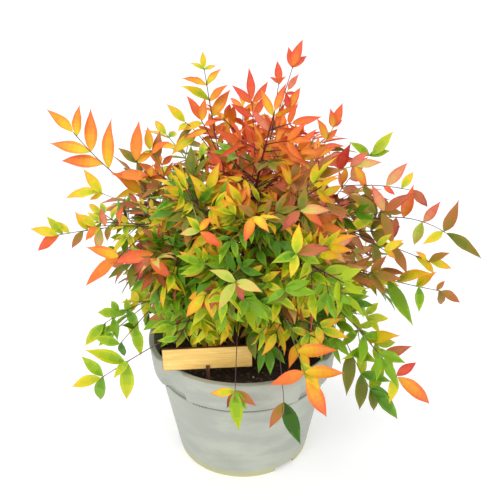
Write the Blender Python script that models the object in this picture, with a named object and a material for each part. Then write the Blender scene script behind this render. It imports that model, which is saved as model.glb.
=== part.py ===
"""Heavenly bamboo in a grey plastic pot, with a bare wooden label on a split stake.

A clump of canes rises from the potting soil. Each cane carries one mass of foliage at its tip, and
boughs leave the canes for the masses round the sides. A mass is a large compound leaf: a stalk with
side stalks that carry three or five leaflets each. Everything is in metres, with +Z up. The origin is
the middle of the pot's underside, and the front of the plant faces -Y.
"""

import math
import random

import bmesh
import bpy
from mathutils import Quaternion, Vector
from mathutils.bvhtree import BVHTree

CLEARANCE = 0.0003
UP = Vector((0.0, 0.0, 1.0))

# Pot: a tapered bucket whose collar is broken by four upright recesses
POT_HEIGHT = 0.180
POT_BASE_RADIUS = 0.097
POT_TOP_RADIUS = 0.130
POT_WALL = 0.003
POT_FLOOR = 0.004
COLLAR_HEIGHT = 0.041
COLLAR_PROUD_TOP = 0.005
COLLAR_PROUD_FOOT = 0.008
COLLAR_LIP = 0.002
COLLAR_UNDERCUT = 0.0015
RECESS_FIRST = 45.0
RECESS_COUNT = 4
RECESS_HALF_WIDTH = 7.0
RECESS_RAMP = 4.0
PANEL_STEPS = 6
NOTCH_FIRST = -52.0
NOTCH_COUNT = 3
NOTCH_WIDTH = 0.034
NOTCH_HEIGHT = 0.007
NOTCH_DEPTH = 0.011

# Potting soil
SOIL_TOP = 0.152
SOIL_GAP = 0.0005
SOIL_EDGE = 0.003

# Label: a bare board in the fork of a stake
BOARD_WIDTH = 0.114
BOARD_HEIGHT = 0.031
BOARD_THICKNESS = 0.004
BOARD_FOOT = Vector((-0.044, -0.103, 0.1860))
BOARD_TURN = 5.0
BOARD_EDGE = 0.0005
STAKE_WIDTH = 0.005
STAKE_FOOT_DEPTH = 0.006
STAKE_CHEEK = 0.0022
STAKE_GRIP = 0.006

# Canes: flared at the soil, and tapering to the mass that each carries
CANE_SIDES = 6
CANE_PLACES = (0.0, 0.05, 0.16, 0.36, 0.58, 0.80, 1.0)
CANE_FOOT_RADIUS = 0.0042
CANE_FLARE = (1.6, 1.15)
CANE_TIP_RADIUS = 0.0022
CANE_SPREAD = 0.045
CANE_BEND = 0.55

# Boughs: each leaves its cane square to it, at the clear place nearest to the named one
BOUGH_SIDES = 4
BOUGH_SEGMENTS = 4
BOUGH_FOOT_RADIUS = 0.0021
BOUGH_TIP_RADIUS = 0.0016
BOUGH_LEAD = 0.45
BOUGH_SHIFTS = (0.0, 0.04, -0.04, 0.08, -0.08, 0.12, -0.12, 0.16, -0.16, 0.20, -0.20)
LIMB_SPARE = 0.0006

# Crown: the masses fan out from its heart, and each keeps to its own cone of space
HEART = Vector((0.0, 0.0, 0.285))
HEART_RADIUS = 0.062
CELL_MARGIN = 0.0004
KEEP_OFF = 0.0010
SLIVER = 0.000001
GROWTHS = 6

# Stalks and leaflets
STALK_SEGMENTS = 4
STALK_LEAD = 0.30
STALK_RADIUS = 0.0019
STALK_TIP_RADIUS = 0.0013
STALK_ROLL = 20.0
PAIR_PLACES = (0.12, 0.34, 0.56, 0.76)
PAIR_TWIST = 35.0
END_PAIRS = (0.90, 0.98)
FILLING_TRIES = 24
FILLING_PLACES = (0.02, 0.75)
SHAPES_MOST = 24
SIDE_STALK_ANGLE = 56.0
SIDE_STALK_SHARE = 0.40
SIDE_STALK_TAPER = 0.75
SIDE_STALK_SIZES = (1.0, 0.8, 0.62, 0.45)
SIDE_STALK_RADIUS = 0.0009
SIDE_STALK_TIP_RADIUS = 0.0008
LONG_STALK = 0.048
LONG_STALK_PAIRS = (0.36, 0.74)
SHORT_STALK_PAIRS = (0.60,)
LEAFLETS_LEAST = 2
LEAFLET_ANGLE = 50.0
LEAFLET_ROLL = 25.0
LEAFLET_LIFT = 4.0
LEAFLET_DROOP = 12.0
LEAFLET_SIZES = (1.0, 0.92, 0.84, 0.76, 0.68)
LEAFLET_SUNK = 0.0001
LEAFLET_TIP_SUNK = 0.0008
LEAF_LENGTH = 0.055
LEAF_WIDTH = 0.34
LEAF_WIDEST = 0.40
LEAF_FOLD = 0.05
LEAF_NOD = 0.06
LEAF_THICKNESS = 0.0012

# The masses at the tips of the canes: azimuth from +X towards +Y, elevation, reach from the heart, tint
CANE_MASSES = {
    "top_right_spire": (5, 76, 0.305, "scarlet"),
    "top_left_spire": (172, 77, 0.290, "orange"),
    "top_front": (300, 70, 0.262, "scarlet"),
    "top_back": (90, 60, 0.255, "orange"),
    "left_high": (184, 42, 0.322, "orange"),
    "right_high": (10, 47, 0.272, "scarlet"),
    "front_left_high": (238, 44, 0.215, "amber"),
    "front_right_high": (312, 44, 0.225, "amber"),
    "back_right_high": (52, 38, 0.262, "orange"),
    "back_left_high": (132, 40, 0.262, "amber"),
}

# The masses on boughs: the same, then the cane that carries the bough and how far up it the bough leaves
BOUGH_MASSES = {
    "left_mid": (181, 11, 0.290, "yellow_green", "left_high", 0.60),
    "right_mid": (357, 6, 0.324, "bronze", "right_high", 0.60),
    "front_left_mid": (222, 12, 0.232, "yellow_green", "front_left_high", 0.66),
    "front_high": (277, 37, 0.214, "yellow_green", "top_front", 0.62),
    "front_mid": (265, 10, 0.222, "green", "front_left_high", 0.48),
    "front_right_mid": (304, 12, 0.235, "green", "front_right_high", 0.66),
    "back_right_mid": (36, 8, 0.285, "bronze", "back_right_high", 0.60),
    "back_mid": (88, 14, 0.270, "yellow_green", "top_back", 0.55),
    "back_left_mid": (142, 8, 0.280, "bronze", "back_left_high", 0.60),
    "left_low": (205, -24, 0.278, "lime", "left_high", 0.30),
    "right_low": (333, -27, 0.303, "green", "right_high", 0.30),
    "front_right_low": (298, -26, 0.250, "amber", "front_right_high", 0.34),
    "front_low": (268, -36, 0.226, "lime", "front_left_high", 0.25),
    "front_left_low": (237, -23, 0.212, "green", "front_left_high", 0.36),
    "left_back_low": (165, -20, 0.258, "green", "left_high", 0.42),
    "back_left_low": (124, -24, 0.262, "lime", "back_left_high", 0.34),
    "back_right_low": (68, -24, 0.262, "green", "back_right_high", 0.34),
    "right_back_low": (20, -20, 0.275, "yellow_green", "right_high", 0.42),
}

COLOURS = {
    "grey_plastic": (0.60, 0.62, 0.59),
    "soil": (0.045, 0.030, 0.020),
    "pale_wood": (0.78, 0.56, 0.30),
    "dark_wood": (0.22, 0.12, 0.06),
    "cane": (0.20, 0.12, 0.08),
    "bough": (0.30, 0.12, 0.10),
    "scarlet": (0.78, 0.13, 0.07),
    "orange": (0.86, 0.30, 0.07),
    "amber": (0.72, 0.42, 0.07),
    "yellow_green": (0.48, 0.50, 0.08),
    "bronze": (0.48, 0.22, 0.14),
    "green": (0.15, 0.33, 0.06),
    "lime": (0.38, 0.58, 0.07),
}
ROUGHNESS = {"soil": 0.95, "pale_wood": 0.7, "dark_wood": 0.7, "cane": 0.8}


# Scene and materials


def clear_scene():
    for obj in list(bpy.data.objects):
        bpy.data.objects.remove(obj, do_unlink=True)


def material(name):
    """A Principled material of one of the COLOURS, made once."""
    found = bpy.data.materials.get(name)
    if found:
        return found
    made = bpy.data.materials.new(name)
    made.use_nodes = True
    shader = made.node_tree.nodes["Principled BSDF"]
    shader.inputs["Base Color"].default_value = (*COLOURS[name], 1.0)
    shader.inputs["Roughness"].default_value = ROUGHNESS.get(name, 0.5)
    shader.inputs["Metallic"].default_value = 0.0
    return made


def add_object(name, shape, finish=None, collection=None):
    """An object made from a shape, which is a pair of vertices and faces."""
    mesh = bpy.data.meshes.new(name)
    vertices, faces = shape
    mesh.from_pydata(vertices, [], faces)
    if finish:
        mesh.materials.append(material(finish))
    obj = bpy.data.objects.new(name, mesh)
    (collection or bpy.context.scene.collection).objects.link(obj)
    return obj


def shade_round(obj, sharp_angle=30.0):
    obj.data.shade_smooth()
    obj.data.set_sharp_from_angle(angle=math.radians(sharp_angle))


# Directions and plain shapes


def direction(azimuth, elevation):
    """A unit vector from an azimuth and an elevation in degrees."""
    a, e = math.radians(azimuth), math.radians(elevation)
    return Vector((math.cos(a) * math.cos(e), math.sin(a) * math.cos(e), math.sin(e)))


def turned(vector, axis, degrees):
    return Quaternion(axis, math.radians(degrees)) @ vector


def square_to(heading, towards):
    """The unit vector square to heading that lies nearest to towards."""
    found = towards - heading * towards.dot(heading)
    if found.length < 0.1 * towards.length:
        spare = Vector((0.0, 1.0, 0.0))
        found = spare - heading * spare.dot(heading)
    return found.normalized()


def bend(start, control, end, share):
    """A point along the curve from start to end that is drawn towards control."""
    rest = 1.0 - share
    return start * rest**2 + control * (2 * share * rest) + end * share**2


def box_shape(size, spare=0.0):
    """A box about its own middle, grown by spare on every side."""
    half = [side / 2 + spare for side in size]
    signs = ((-1, -1), (1, -1), (1, 1), (-1, 1))
    vertices = [Vector((x * half[0], y * half[1], z * half[2])) for z in (-1, 1) for x, y in signs]
    sides = [(i, (i + 1) % 4, (i + 1) % 4 + 4, i + 4) for i in range(4)]
    return vertices, [(3, 2, 1, 0), (4, 5, 6, 7), *sides]


def prism_shape(outline, width):
    """An outline of (y, z) points, counter-clockwise seen from +X, given a width along X."""
    count = len(outline)
    vertices = [Vector((x * width / 2, y, z)) for x in (-1, 1) for y, z in outline]
    sides = [(i, (i + 1) % count, (i + 1) % count + count, i + count) for i in range(count)]
    return vertices, [tuple(reversed(range(count))), tuple(range(count, 2 * count)), *sides]


def tube_shape(points, radii, sides, first_heading=None, last_heading=None):
    """A closed tube along points. A given heading fixes the way that an end faces."""
    vertices, faces = [], []
    last = len(points) - 1
    across = Vector((1.0, 0.0, 0.0))
    for i, (point, radius) in enumerate(zip(points, radii)):
        heading = (points[min(i + 1, last)] - points[max(i - 1, 0)]).normalized()
        if i == 0 and first_heading:
            heading = first_heading
        if i == last and last_heading:
            heading = last_heading
        across = square_to(heading, across)
        over = heading.cross(across)
        for s in range(sides):
            turn = 2 * math.pi * s / sides
            vertices.append(point + (across * math.cos(turn) + over * math.sin(turn)) * radius)
    for i in range(last):
        for s in range(sides):
            a, b = i * sides + s, i * sides + (s + 1) % sides
            faces.append((a, b, b + sides, a + sides))
    faces.append(tuple(reversed(range(sides))))
    faces.append(tuple(last * sides + s for s in range(sides)))
    return vertices, faces


def leaflet_shape(base, along, normal, length):
    """A thin blade of eight faces, folded along its midrib, with a nodding tip."""
    left = normal.cross(along)
    middle = base + along * (length * LEAF_WIDEST)
    half_width = left * (length * LEAF_WIDTH / 2)
    fold = normal * (length * LEAF_FOLD)
    half_thick = normal * (LEAF_THICKNESS / 2)
    tip = base + along * length - normal * (length * LEAF_NOD)
    vertices = [base, middle - half_width + fold, tip, middle + half_width + fold]
    vertices += [middle + half_thick, middle - half_thick]
    over = [(i, (i + 1) % 4, 4) for i in range(4)]
    under = [((i + 1) % 4, i, 5) for i in range(4)]
    return vertices, over + under


class Limb:
    """A tapering stem along a bent path, with its rings at the given shares of the path."""

    def __init__(self, start, control, end, places, radii, sides, first, last=None):
        self.places, self.radii, self.sides = places, radii, sides
        self.first, self.last = first, last
        self.points = [bend(start, control, end, place) for place in places]
        self.tip = self.points[-1]

    def shape(self, spare=0.0):
        radii = [radius + spare for radius in self.radii]
        return tube_shape(self.points, radii, self.sides, self.first, self.last)

    def at(self, place):
        """The axis point, the radius and the heading at a share of the path."""
        i = max(k for k, ring in enumerate(self.places[:-1]) if ring <= place)
        share = (place - self.places[i]) / (self.places[i + 1] - self.places[i])
        point = self.points[i].lerp(self.points[i + 1], share)
        radius = self.radii[i] + (self.radii[i + 1] - self.radii[i]) * share
        return point, radius, (self.points[i + 1] - self.points[i]).normalized()


def even(first, last, count):
    return [first + (last - first) * i / (count - 1) for i in range(count)]


def tree_of(*shapes):
    """One search tree over the faces of several shapes."""
    vertices, faces = [], []
    for more, its_faces in shapes:
        faces += [[i + len(vertices) for i in face] for face in its_faces]
        vertices += more
    return BVHTree.FromPolygons(vertices, faces)


# Pot and soil


def wall_radius(height):
    return POT_BASE_RADIUS + (POT_TOP_RADIUS - POT_BASE_RADIUS) * height / POT_HEIGHT


def pot_angles():
    """The angles of the pot's upright edges, closer together where a recess turns in."""
    period = 360.0 / RECESS_COUNT
    edge = RECESS_HALF_WIDTH + RECESS_RAMP
    angles = []
    for i in range(RECESS_COUNT):
        middle = RECESS_FIRST + period * i
        turn_in = (-edge, -edge + RECESS_RAMP / 2, -RECESS_HALF_WIDTH)
        angles += [middle + step for step in turn_in]
        angles.append(middle)
        angles += [middle - step for step in reversed(turn_in)]
        panel = period - 2 * edge
        angles += [middle + edge + panel * k / PANEL_STEPS for k in range(1, PANEL_STEPS)]
    return angles


def collar_share(angle):
    """1 on a panel of the collar, 0 in a recess, and a rounded turn between them."""
    period = 360.0 / RECESS_COUNT
    off = abs((angle - RECESS_FIRST + period / 2) % period - period / 2)
    ramp = min(1.0, max(0.0, (off - RECESS_HALF_WIDTH) / RECESS_RAMP))
    return ramp * ramp * (3 - 2 * ramp)


def lathe(name, rings, finish):
    """A closed solid of rings, each (radius, height, how far the collar's panels stand proud)."""
    angles = pot_angles()
    count = len(angles)
    vertices, faces = [], []
    for radius, height, proud in rings:
        for angle in angles:
            reach = radius + proud * collar_share(angle)
            turn = math.radians(angle)
            vertices.append(Vector((reach * math.cos(turn), reach * math.sin(turn), height)))
    for ring in range(len(rings) - 1):
        for i in range(count):
            a, b = ring * count + i, ring * count + (i + 1) % count
            faces.append((a, b, b + count, a + count))
    faces.append(tuple(reversed(range(count))))
    faces.append(tuple((len(rings) - 1) * count + i for i in range(count)))
    obj = add_object(name, (vertices, faces), finish)
    shade_round(obj)
    return obj


def build_pot():
    collar_foot = POT_HEIGHT - COLLAR_HEIGHT
    rings = [
        (POT_BASE_RADIUS - 0.001, 0.0, 0.0),
        (wall_radius(0.001), 0.001, 0.0),
        (wall_radius(collar_foot - COLLAR_UNDERCUT), collar_foot - COLLAR_UNDERCUT, 0.0),
        (wall_radius(collar_foot), collar_foot, COLLAR_PROUD_FOOT),
        (wall_radius(POT_HEIGHT - COLLAR_LIP), POT_HEIGHT - COLLAR_LIP, COLLAR_PROUD_TOP),
        (wall_radius(POT_HEIGHT) - 0.001, POT_HEIGHT, COLLAR_PROUD_TOP),
        (wall_radius(POT_HEIGHT) - POT_WALL, POT_HEIGHT, 0.0),
        (wall_radius(POT_FLOOR) - POT_WALL, POT_FLOOR, 0.0),
    ]
    pot = lathe("pot", rings, "grey_plastic")
    middle = POT_BASE_RADIUS - NOTCH_DEPTH / 2 + CLEARANCE
    for i in range(NOTCH_COUNT):
        turn = math.radians(NOTCH_FIRST + 360.0 * i / NOTCH_COUNT)
        cutter = add_object(f"notch_cutter_{i}", box_shape((NOTCH_DEPTH, NOTCH_WIDTH, 2 * NOTCH_HEIGHT)))
        cutter.location = (middle * math.cos(turn), middle * math.sin(turn), 0.0)
        cutter.rotation_euler.z = turn
        cutter.hide_render = True
        cutter.display_type = "WIRE"
        cut = pot.modifiers.new(f"notch_{i}", "BOOLEAN")
        cut.operation = "DIFFERENCE"
        cut.object = cutter


def build_soil():
    foot = POT_FLOOR + SOIL_GAP
    shoulder = SOIL_TOP - SOIL_EDGE
    inset = POT_WALL + SOIL_GAP
    rings = [
        (wall_radius(foot) - inset, foot, 0.0),
        (wall_radius(shoulder) - inset, shoulder, 0.0),
        (wall_radius(SOIL_TOP) - inset - SOIL_EDGE, SOIL_TOP, 0.0),
    ]
    lathe("soil", rings, "soil")


# Label


def stake_outline():
    """The stake from the side: a foot on the soil, and a fork that the board stands in."""
    seat = BOARD_FOOT.z - SOIL_TOP - 2 * CLEARANCE
    slot = BOARD_THICKNESS / 2 + CLEARANCE
    cheek = slot + STAKE_CHEEK
    foot = STAKE_FOOT_DEPTH / 2
    right = [(foot, 0.0), (cheek, seat), (cheek, seat + STAKE_GRIP), (slot, seat + STAKE_GRIP), (slot, seat)]
    left = [(-y, z) for y, z in reversed(right)]
    return right + left


def build_label():
    """The board and its stake, and grown copies of both for the leaves to keep clear of."""
    size = (BOARD_WIDTH, BOARD_THICKNESS, BOARD_HEIGHT)
    middle = BOARD_FOOT + UP * (BOARD_HEIGHT / 2)
    board = add_object("label_board", box_shape(size), "pale_wood")
    board.location = middle
    edge = board.modifiers.new("eased_edges", "BEVEL")
    edge.width = BOARD_EDGE
    edge.segments = 1
    stake = add_object("label_stake", prism_shape(stake_outline(), STAKE_WIDTH), "dark_wood")
    stake.location = (BOARD_FOOT.x, BOARD_FOOT.y, SOIL_TOP + CLEARANCE)
    for obj in (board, stake):
        obj.rotation_euler.z = math.radians(BOARD_TURN)
    vertices, faces = box_shape(size, KEEP_OFF)
    return [turned(v, UP, BOARD_TURN) + middle for v in vertices], faces


# Canes and boughs


def cane_limb(azimuth, elevation):
    foot = direction(azimuth, 0) * (CANE_SPREAD * math.cos(math.radians(elevation)))
    foot += UP * (SOIL_TOP + CLEARANCE)
    tip = HEART + direction(azimuth, elevation) * HEART_RADIUS
    control = foot + UP * ((tip.z - foot.z) * CANE_BEND)
    radii = [CANE_FOOT_RADIUS + (CANE_TIP_RADIUS - CANE_FOOT_RADIUS) * place for place in CANE_PLACES]
    for ring, flare in enumerate(CANE_FLARE):
        radii[ring] *= flare
    return Limb(foot, control, tip, CANE_PLACES, radii, CANE_SIDES, UP, (tip - control).normalized())


def bough_limb(cane, place, azimuth, elevation):
    tip = HEART + direction(azimuth, elevation) * HEART_RADIUS
    axis, radius, heading = cane.at(place)
    outward = square_to(heading, tip - axis)
    start = axis + outward * (radius + CLEARANCE)
    control = start + outward * ((tip - start).length * BOUGH_LEAD)
    places = even(0.0, 1.0, BOUGH_SEGMENTS + 1)
    radii = even(BOUGH_FOOT_RADIUS, BOUGH_TIP_RADIUS, BOUGH_SEGMENTS + 1)
    return Limb(start, control, tip, places, radii, BOUGH_SIDES, outward, (tip - control).normalized())


def clear_bough(name, limbs):
    """The bough of a mass, moved along its cane until it is clear of every other limb."""
    azimuth, elevation, _, _, cane_name, place = BOUGH_MASSES[name]
    others = tree_of(*[limb.shape(LIMB_SPARE) for key, limb in limbs.items() if key != cane_name])
    cane = tree_of(limbs[cane_name].shape())
    for shift in BOUGH_SHIFTS:
        bough = bough_limb(limbs[cane_name], place + shift, azimuth, elevation)
        if not tree_of(bough.shape()).overlap(cane) and not tree_of(bough.shape(LIMB_SPARE)).overlap(others):
            return bough
    raise ValueError(f"no clear place for the bough of {name}")


def build_limbs():
    """Every cane and bough, by the name of the mass that it carries."""
    limbs = {}
    for name, (azimuth, elevation, _, _) in CANE_MASSES.items():
        limbs[name] = cane_limb(azimuth, elevation)
    for name in BOUGH_MASSES:
        limbs[name] = clear_bough(name, limbs)
    for name, limb in limbs.items():
        kind = "cane" if name in CANE_MASSES else "bough"
        shade_round(add_object(f"{name}_{kind}", limb.shape(), kind), 60.0)
    return limbs


# Foliage


class Space:
    """The room of one mass: its own cone, clear of the pot, the label and every limb."""

    def __init__(self, name, sites, obstacles):
        own = sites[name]
        self.walls = [(own - other).normalized() for key, other in sites.items() if key != name]
        self.obstacles = obstacles
        self.grown = []

    def take(self, shape, twig, joined=()):
        """Grow a shape, unless it leaves the space or crosses a twig that it isn't joined to."""
        if any((v - HEART).dot(wall) < CELL_MARGIN for v in shape[0] for wall in self.walls):
            return False
        tree = tree_of(shape)
        if tree.overlap(self.obstacles):
            return False
        if any(tree.overlap(other) for key, other in self.grown if key not in joined):
            return False
        self.grown.append((twig, tree))
        return True

    def leaflet(self, twig, place, base, along, normal, rng):
        """A leaflet at the first size and tilt that the space takes."""
        for size in LEAFLET_SIZES:
            facing = turned(normal, along, rng.uniform(-LEAFLET_ROLL, LEAFLET_ROLL))
            heading = turned(along, facing.cross(along), rng.uniform(-LEAFLET_LIFT, LEAFLET_DROOP))
            shape = leaflet_shape(base, heading, square_to(heading, facing), LEAF_LENGTH * size)
            if self.take(shape, (twig, place), (twig, (twig, place))):
                return [shape]
        return []


def leaflets(space, twig, limb, places, along, normal, rng):
    """A leaflet at a stalk's tip, and an opposite pair at each place along it."""
    shapes = space.leaflet(twig, 1.0, limb.tip - along * LEAFLET_TIP_SUNK, along, normal, rng)
    for place in places:
        point, _, heading = limb.at(place)
        for hand in (-1, 1):
            sideways = turned(heading, normal, hand * LEAFLET_ANGLE)
            shapes += space.leaflet(twig, place, point - sideways * LEAFLET_SUNK, sideways, normal, rng)
    return shapes


def side_stalk(space, twig, start, along, normal, length, rng):
    """A side stalk with its leaflets, as long as the space takes, or nothing."""
    before = len(space.grown)
    for size in SIDE_STALK_SIZES:
        end = start + along * (length * size)
        radii = (SIDE_STALK_RADIUS, SIDE_STALK_TIP_RADIUS)
        stalk = Limb(start, (start + end) / 2, end, (0.0, 1.0), radii, 3, along)
        if space.take(stalk.shape(), twig, ("stalk", (twig[0], -twig[1]))):
            pairs = LONG_STALK_PAIRS if length * size > LONG_STALK else SHORT_STALK_PAIRS
            blades = leaflets(space, twig, stalk, pairs, along, normal, rng)
            if len(blades) >= LEAFLETS_LEAST:
                return [stalk.shape(), *blades]
            del space.grown[before:]
    return []


def mass_shapes(limb, azimuth, elevation, reach, space, rng):
    """The main stalk, side stalks and leaflets of one mass."""
    start = limb.tip + limb.last * CLEARANCE
    far_tip = HEART + direction(azimuth, elevation) * reach
    length = (far_tip - start).length
    control = start + limb.last * (length * STALK_LEAD)
    last_leaflet = (LEAF_LENGTH - LEAFLET_TIP_SUNK) / (2 * (far_tip - control).length)
    places = even(0.0, 1.0 - last_leaflet, STALK_SEGMENTS + 1)
    radii = even(STALK_RADIUS, STALK_TIP_RADIUS, STALK_SEGMENTS + 1)
    stalk = Limb(start, control, far_tip, places, radii, 3, limb.last)
    space.take(stalk.shape(), "stalk")
    roll = rng.uniform(-STALK_ROLL, STALK_ROLL)
    outward = UP + direction(azimuth, 0) * 0.5
    heading = (far_tip - stalk.tip).normalized()
    normal = turned(square_to(heading, outward), heading, roll)
    end_pairs = [place * places[-1] for place in END_PAIRS]
    shapes = [stalk.shape(), *leaflets(space, "stalk", stalk, end_pairs, heading, normal, rng)]
    for number in range(len(PAIR_PLACES) + FILLING_TRIES):
        filling = number >= len(PAIR_PLACES)
        if filling and len(shapes) > SHAPES_MOST:
            break
        share = rng.uniform(*FILLING_PLACES) if filling else PAIR_PLACES[number]
        twist = rng.uniform(0.0, 360.0) if filling else roll + PAIR_TWIST * (1 if number % 2 else -1)
        point, _, heading = stalk.at(share * places[-1])
        normal = turned(square_to(heading, outward), heading, twist)
        side_length = length * SIDE_STALK_SHARE * (1.0 - SIDE_STALK_TAPER * share)
        for hand in (1,) if filling else (-1, 1):
            along = turned(heading, normal, hand * SIDE_STALK_ANGLE)
            shapes += side_stalk(space, (number, hand), point, along, normal, side_length, rng)
    return shapes


def cleaned(mesh):
    """Drop loose scraps and the inner skins of sealed hollows, and tell if the skin is then sound."""
    body = bmesh.new()
    body.from_mesh(mesh)
    bmesh.ops.remove_doubles(body, verts=body.verts, dist=SLIVER)
    bmesh.ops.dissolve_degenerate(body, edges=body.edges, dist=SLIVER)
    left = set(body.verts)
    pieces = []
    while left:
        piece, rim = set(), [left.pop()]
        while rim:
            vertex = rim.pop()
            piece.add(vertex)
            for link in vertex.link_edges:
                other = link.other_vert(vertex)
                if other in left:
                    left.discard(other)
                    rim.append(other)
        pieces.append(piece)
    pieces.sort(key=len)
    scraps = [vertex for piece in pieces[:-1] for vertex in piece]
    bmesh.ops.delete(body, geom=scraps, context="VERTS")
    sound = all(edge.is_manifold for edge in body.edges) and all(v.is_manifold for v in body.verts)
    body.to_mesh(mesh)
    body.free()
    return sound


def fuse(name, shapes, finish):
    """One object from overlapping shapes, by a Boolean union on a collection of them."""
    collection = bpy.data.collections.new(f"{name}_shapes")
    bpy.context.scene.collection.children.link(collection)
    first = add_object(name, shapes[0], finish)
    for number, shape in enumerate(shapes[1:]):
        add_object(f"{name}_{number}", shape, finish, collection)
    union = first.modifiers.new("union", "BOOLEAN")
    union.operation = "UNION"
    union.operand_type = "COLLECTION"
    union.collection = collection
    bpy.context.view_layer.update()
    fused = bpy.data.meshes.new_from_object(first.evaluated_get(bpy.context.evaluated_depsgraph_get()))
    first.modifiers.remove(union)
    first.data = fused
    for obj in list(collection.objects):
        bpy.data.objects.remove(obj, do_unlink=True)
    bpy.data.collections.remove(collection)
    return first


def pot_keep_off():
    """The pot as a closed drum, grown a little, for the leaves to keep clear of."""
    extra = COLLAR_PROUD_FOOT + KEEP_OFF
    points = [Vector((0.0, 0.0, -POT_HEIGHT)), Vector((0.0, 0.0, 0.0)), UP * (POT_HEIGHT + KEEP_OFF)]
    radii = [POT_BASE_RADIUS + extra, POT_BASE_RADIUS + extra, POT_TOP_RADIUS + extra]
    return tube_shape(points, radii, 48)


def build_crown(limbs, label_keep_off):
    """Every mass, grown again from another seed where its skin pinches."""
    masses = {**CANE_MASSES, **BOUGH_MASSES}
    sites = {name: direction(row[0], row[1]) for name, row in masses.items()}
    obstacles = tree_of(pot_keep_off(), label_keep_off, *[limb.shape(KEEP_OFF) for limb in limbs.values()])
    for number, (name, row) in enumerate(masses.items()):
        azimuth, elevation, reach, tint = row[:4]
        for growth in range(GROWTHS):
            rng = random.Random(number + growth * len(masses))
            space = Space(name, sites, obstacles)
            shapes = mass_shapes(limbs[name], azimuth, elevation, reach, space, rng)
            foliage = fuse(f"{name}_foliage", shapes, tint)
            if cleaned(foliage.data):
                break
            bpy.data.objects.remove(foliage, do_unlink=True)


def main():
    clear_scene()
    build_pot()
    build_soil()
    label_keep_off = build_label()
    limbs = build_limbs()
    build_crown(limbs, label_keep_off)


main()
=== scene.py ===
import math
import random

import bmesh
import bpy
import numpy as np
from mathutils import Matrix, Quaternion, Vector, noise
from mathutils.bvhtree import BVHTree


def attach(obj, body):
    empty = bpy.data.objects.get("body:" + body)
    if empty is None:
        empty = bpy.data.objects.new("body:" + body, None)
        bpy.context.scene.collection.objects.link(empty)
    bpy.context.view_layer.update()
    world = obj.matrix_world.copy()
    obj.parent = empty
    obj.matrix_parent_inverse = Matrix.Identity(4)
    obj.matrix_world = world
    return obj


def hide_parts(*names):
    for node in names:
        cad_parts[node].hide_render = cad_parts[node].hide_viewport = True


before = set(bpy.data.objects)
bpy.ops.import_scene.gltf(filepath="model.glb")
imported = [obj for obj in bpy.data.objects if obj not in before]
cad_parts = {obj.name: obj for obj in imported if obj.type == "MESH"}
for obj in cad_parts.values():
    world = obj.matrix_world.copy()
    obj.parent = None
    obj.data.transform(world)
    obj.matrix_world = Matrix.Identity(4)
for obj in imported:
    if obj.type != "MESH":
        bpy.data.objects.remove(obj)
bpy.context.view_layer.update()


# The stand and the light
# The plant stands on a seamless sweep of white sheet that is lit from behind, under broad soft lamps.
# The camera is a step away at the height of the upper sprays, and looks down on the pot.

CAMERA_PLACE = (0.010, -0.755, 0.621)
CAMERA_DOWN = 22.6
CAMERA_LENS = 43.2
SENSOR_WIDTH = 36.0
SWEEP_HALF_WIDTH = 4.0
SWEEP_FRONT = -3.0
SWEEP_BEND_START = 0.9
SWEEP_RADIUS = 1.2
SWEEP_TOP = 3.4
SWEEP_STEPS = 12
SWEEP_WHITE = (212, 212, 213)
SWEEP_GLOW = 0.43
SWEEP_GRAIN_SCALE = 40.0
SWEEP_ROUGHNESS = (0.75, 0.95)
ROOM_LIGHT = 0.44
LAMPS_AIM = Vector((0.0, 0.0, 0.25))

# Each lamp's place, size and power
LAMPS = {
    "key_lamp": ((-1.0, -1.5, 1.9), 1.1, 24.0),
    "fill_lamp": ((1.4, -1.5, 0.8), 1.6, 13.0),
    "low_lamp": ((-0.9, -1.6, 0.6), 1.4, 5.0),
    "top_lamp": ((0.1, 0.0, 2.4), 1.4, 14.0),
    "back_lamp": ((-0.4, 0.75, 1.8), 1.2, 8.0),
}


def from_display(red, green, blue):
    """The linear colour of a display colour given from 0 to 255."""
    shares = [value / 255.0 for value in (red, green, blue)]
    linear = [s / 12.92 if s <= 0.04045 else ((s + 0.055) / 1.055) ** 2.4 for s in shares]
    return (*linear, 1.0)


def new_material(name):
    """A material with its Principled shader, its node maker and its linker."""
    made = bpy.data.materials.new(name)
    made.use_nodes = True
    tree = made.node_tree
    return made, tree.nodes["Principled BSDF"], tree.nodes.new, tree.links.new


def new_piece(name, vertices, faces, materials, face_finishes=None):
    """A mesh piece from lists of corners and faces, with a finish for each face."""
    mesh = bpy.data.meshes.new(name)
    mesh.from_pydata([tuple(v) for v in vertices], [], faces)
    for made in materials:
        mesh.materials.append(made)
    if face_finishes is not None:
        mesh.polygons.foreach_set("material_index", np.asarray(face_finishes, dtype=np.int32))
    piece = bpy.data.objects.new(name, mesh)
    bpy.context.scene.collection.objects.link(piece)
    return piece


def shade_round(piece, sharp_angle):
    piece.data.shade_smooth()
    piece.data.set_sharp_from_angle(angle=math.radians(sharp_angle))


def add_camera():
    lens = bpy.data.cameras.new("camera")
    lens.lens = CAMERA_LENS
    lens.sensor_width = SENSOR_WIDTH
    camera = bpy.data.objects.new("camera", lens)
    camera.location = CAMERA_PLACE
    camera.rotation_euler = (math.radians(90.0 - CAMERA_DOWN), 0.0, 0.0)
    bpy.context.scene.collection.objects.link(camera)
    bpy.context.scene.camera = camera


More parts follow.
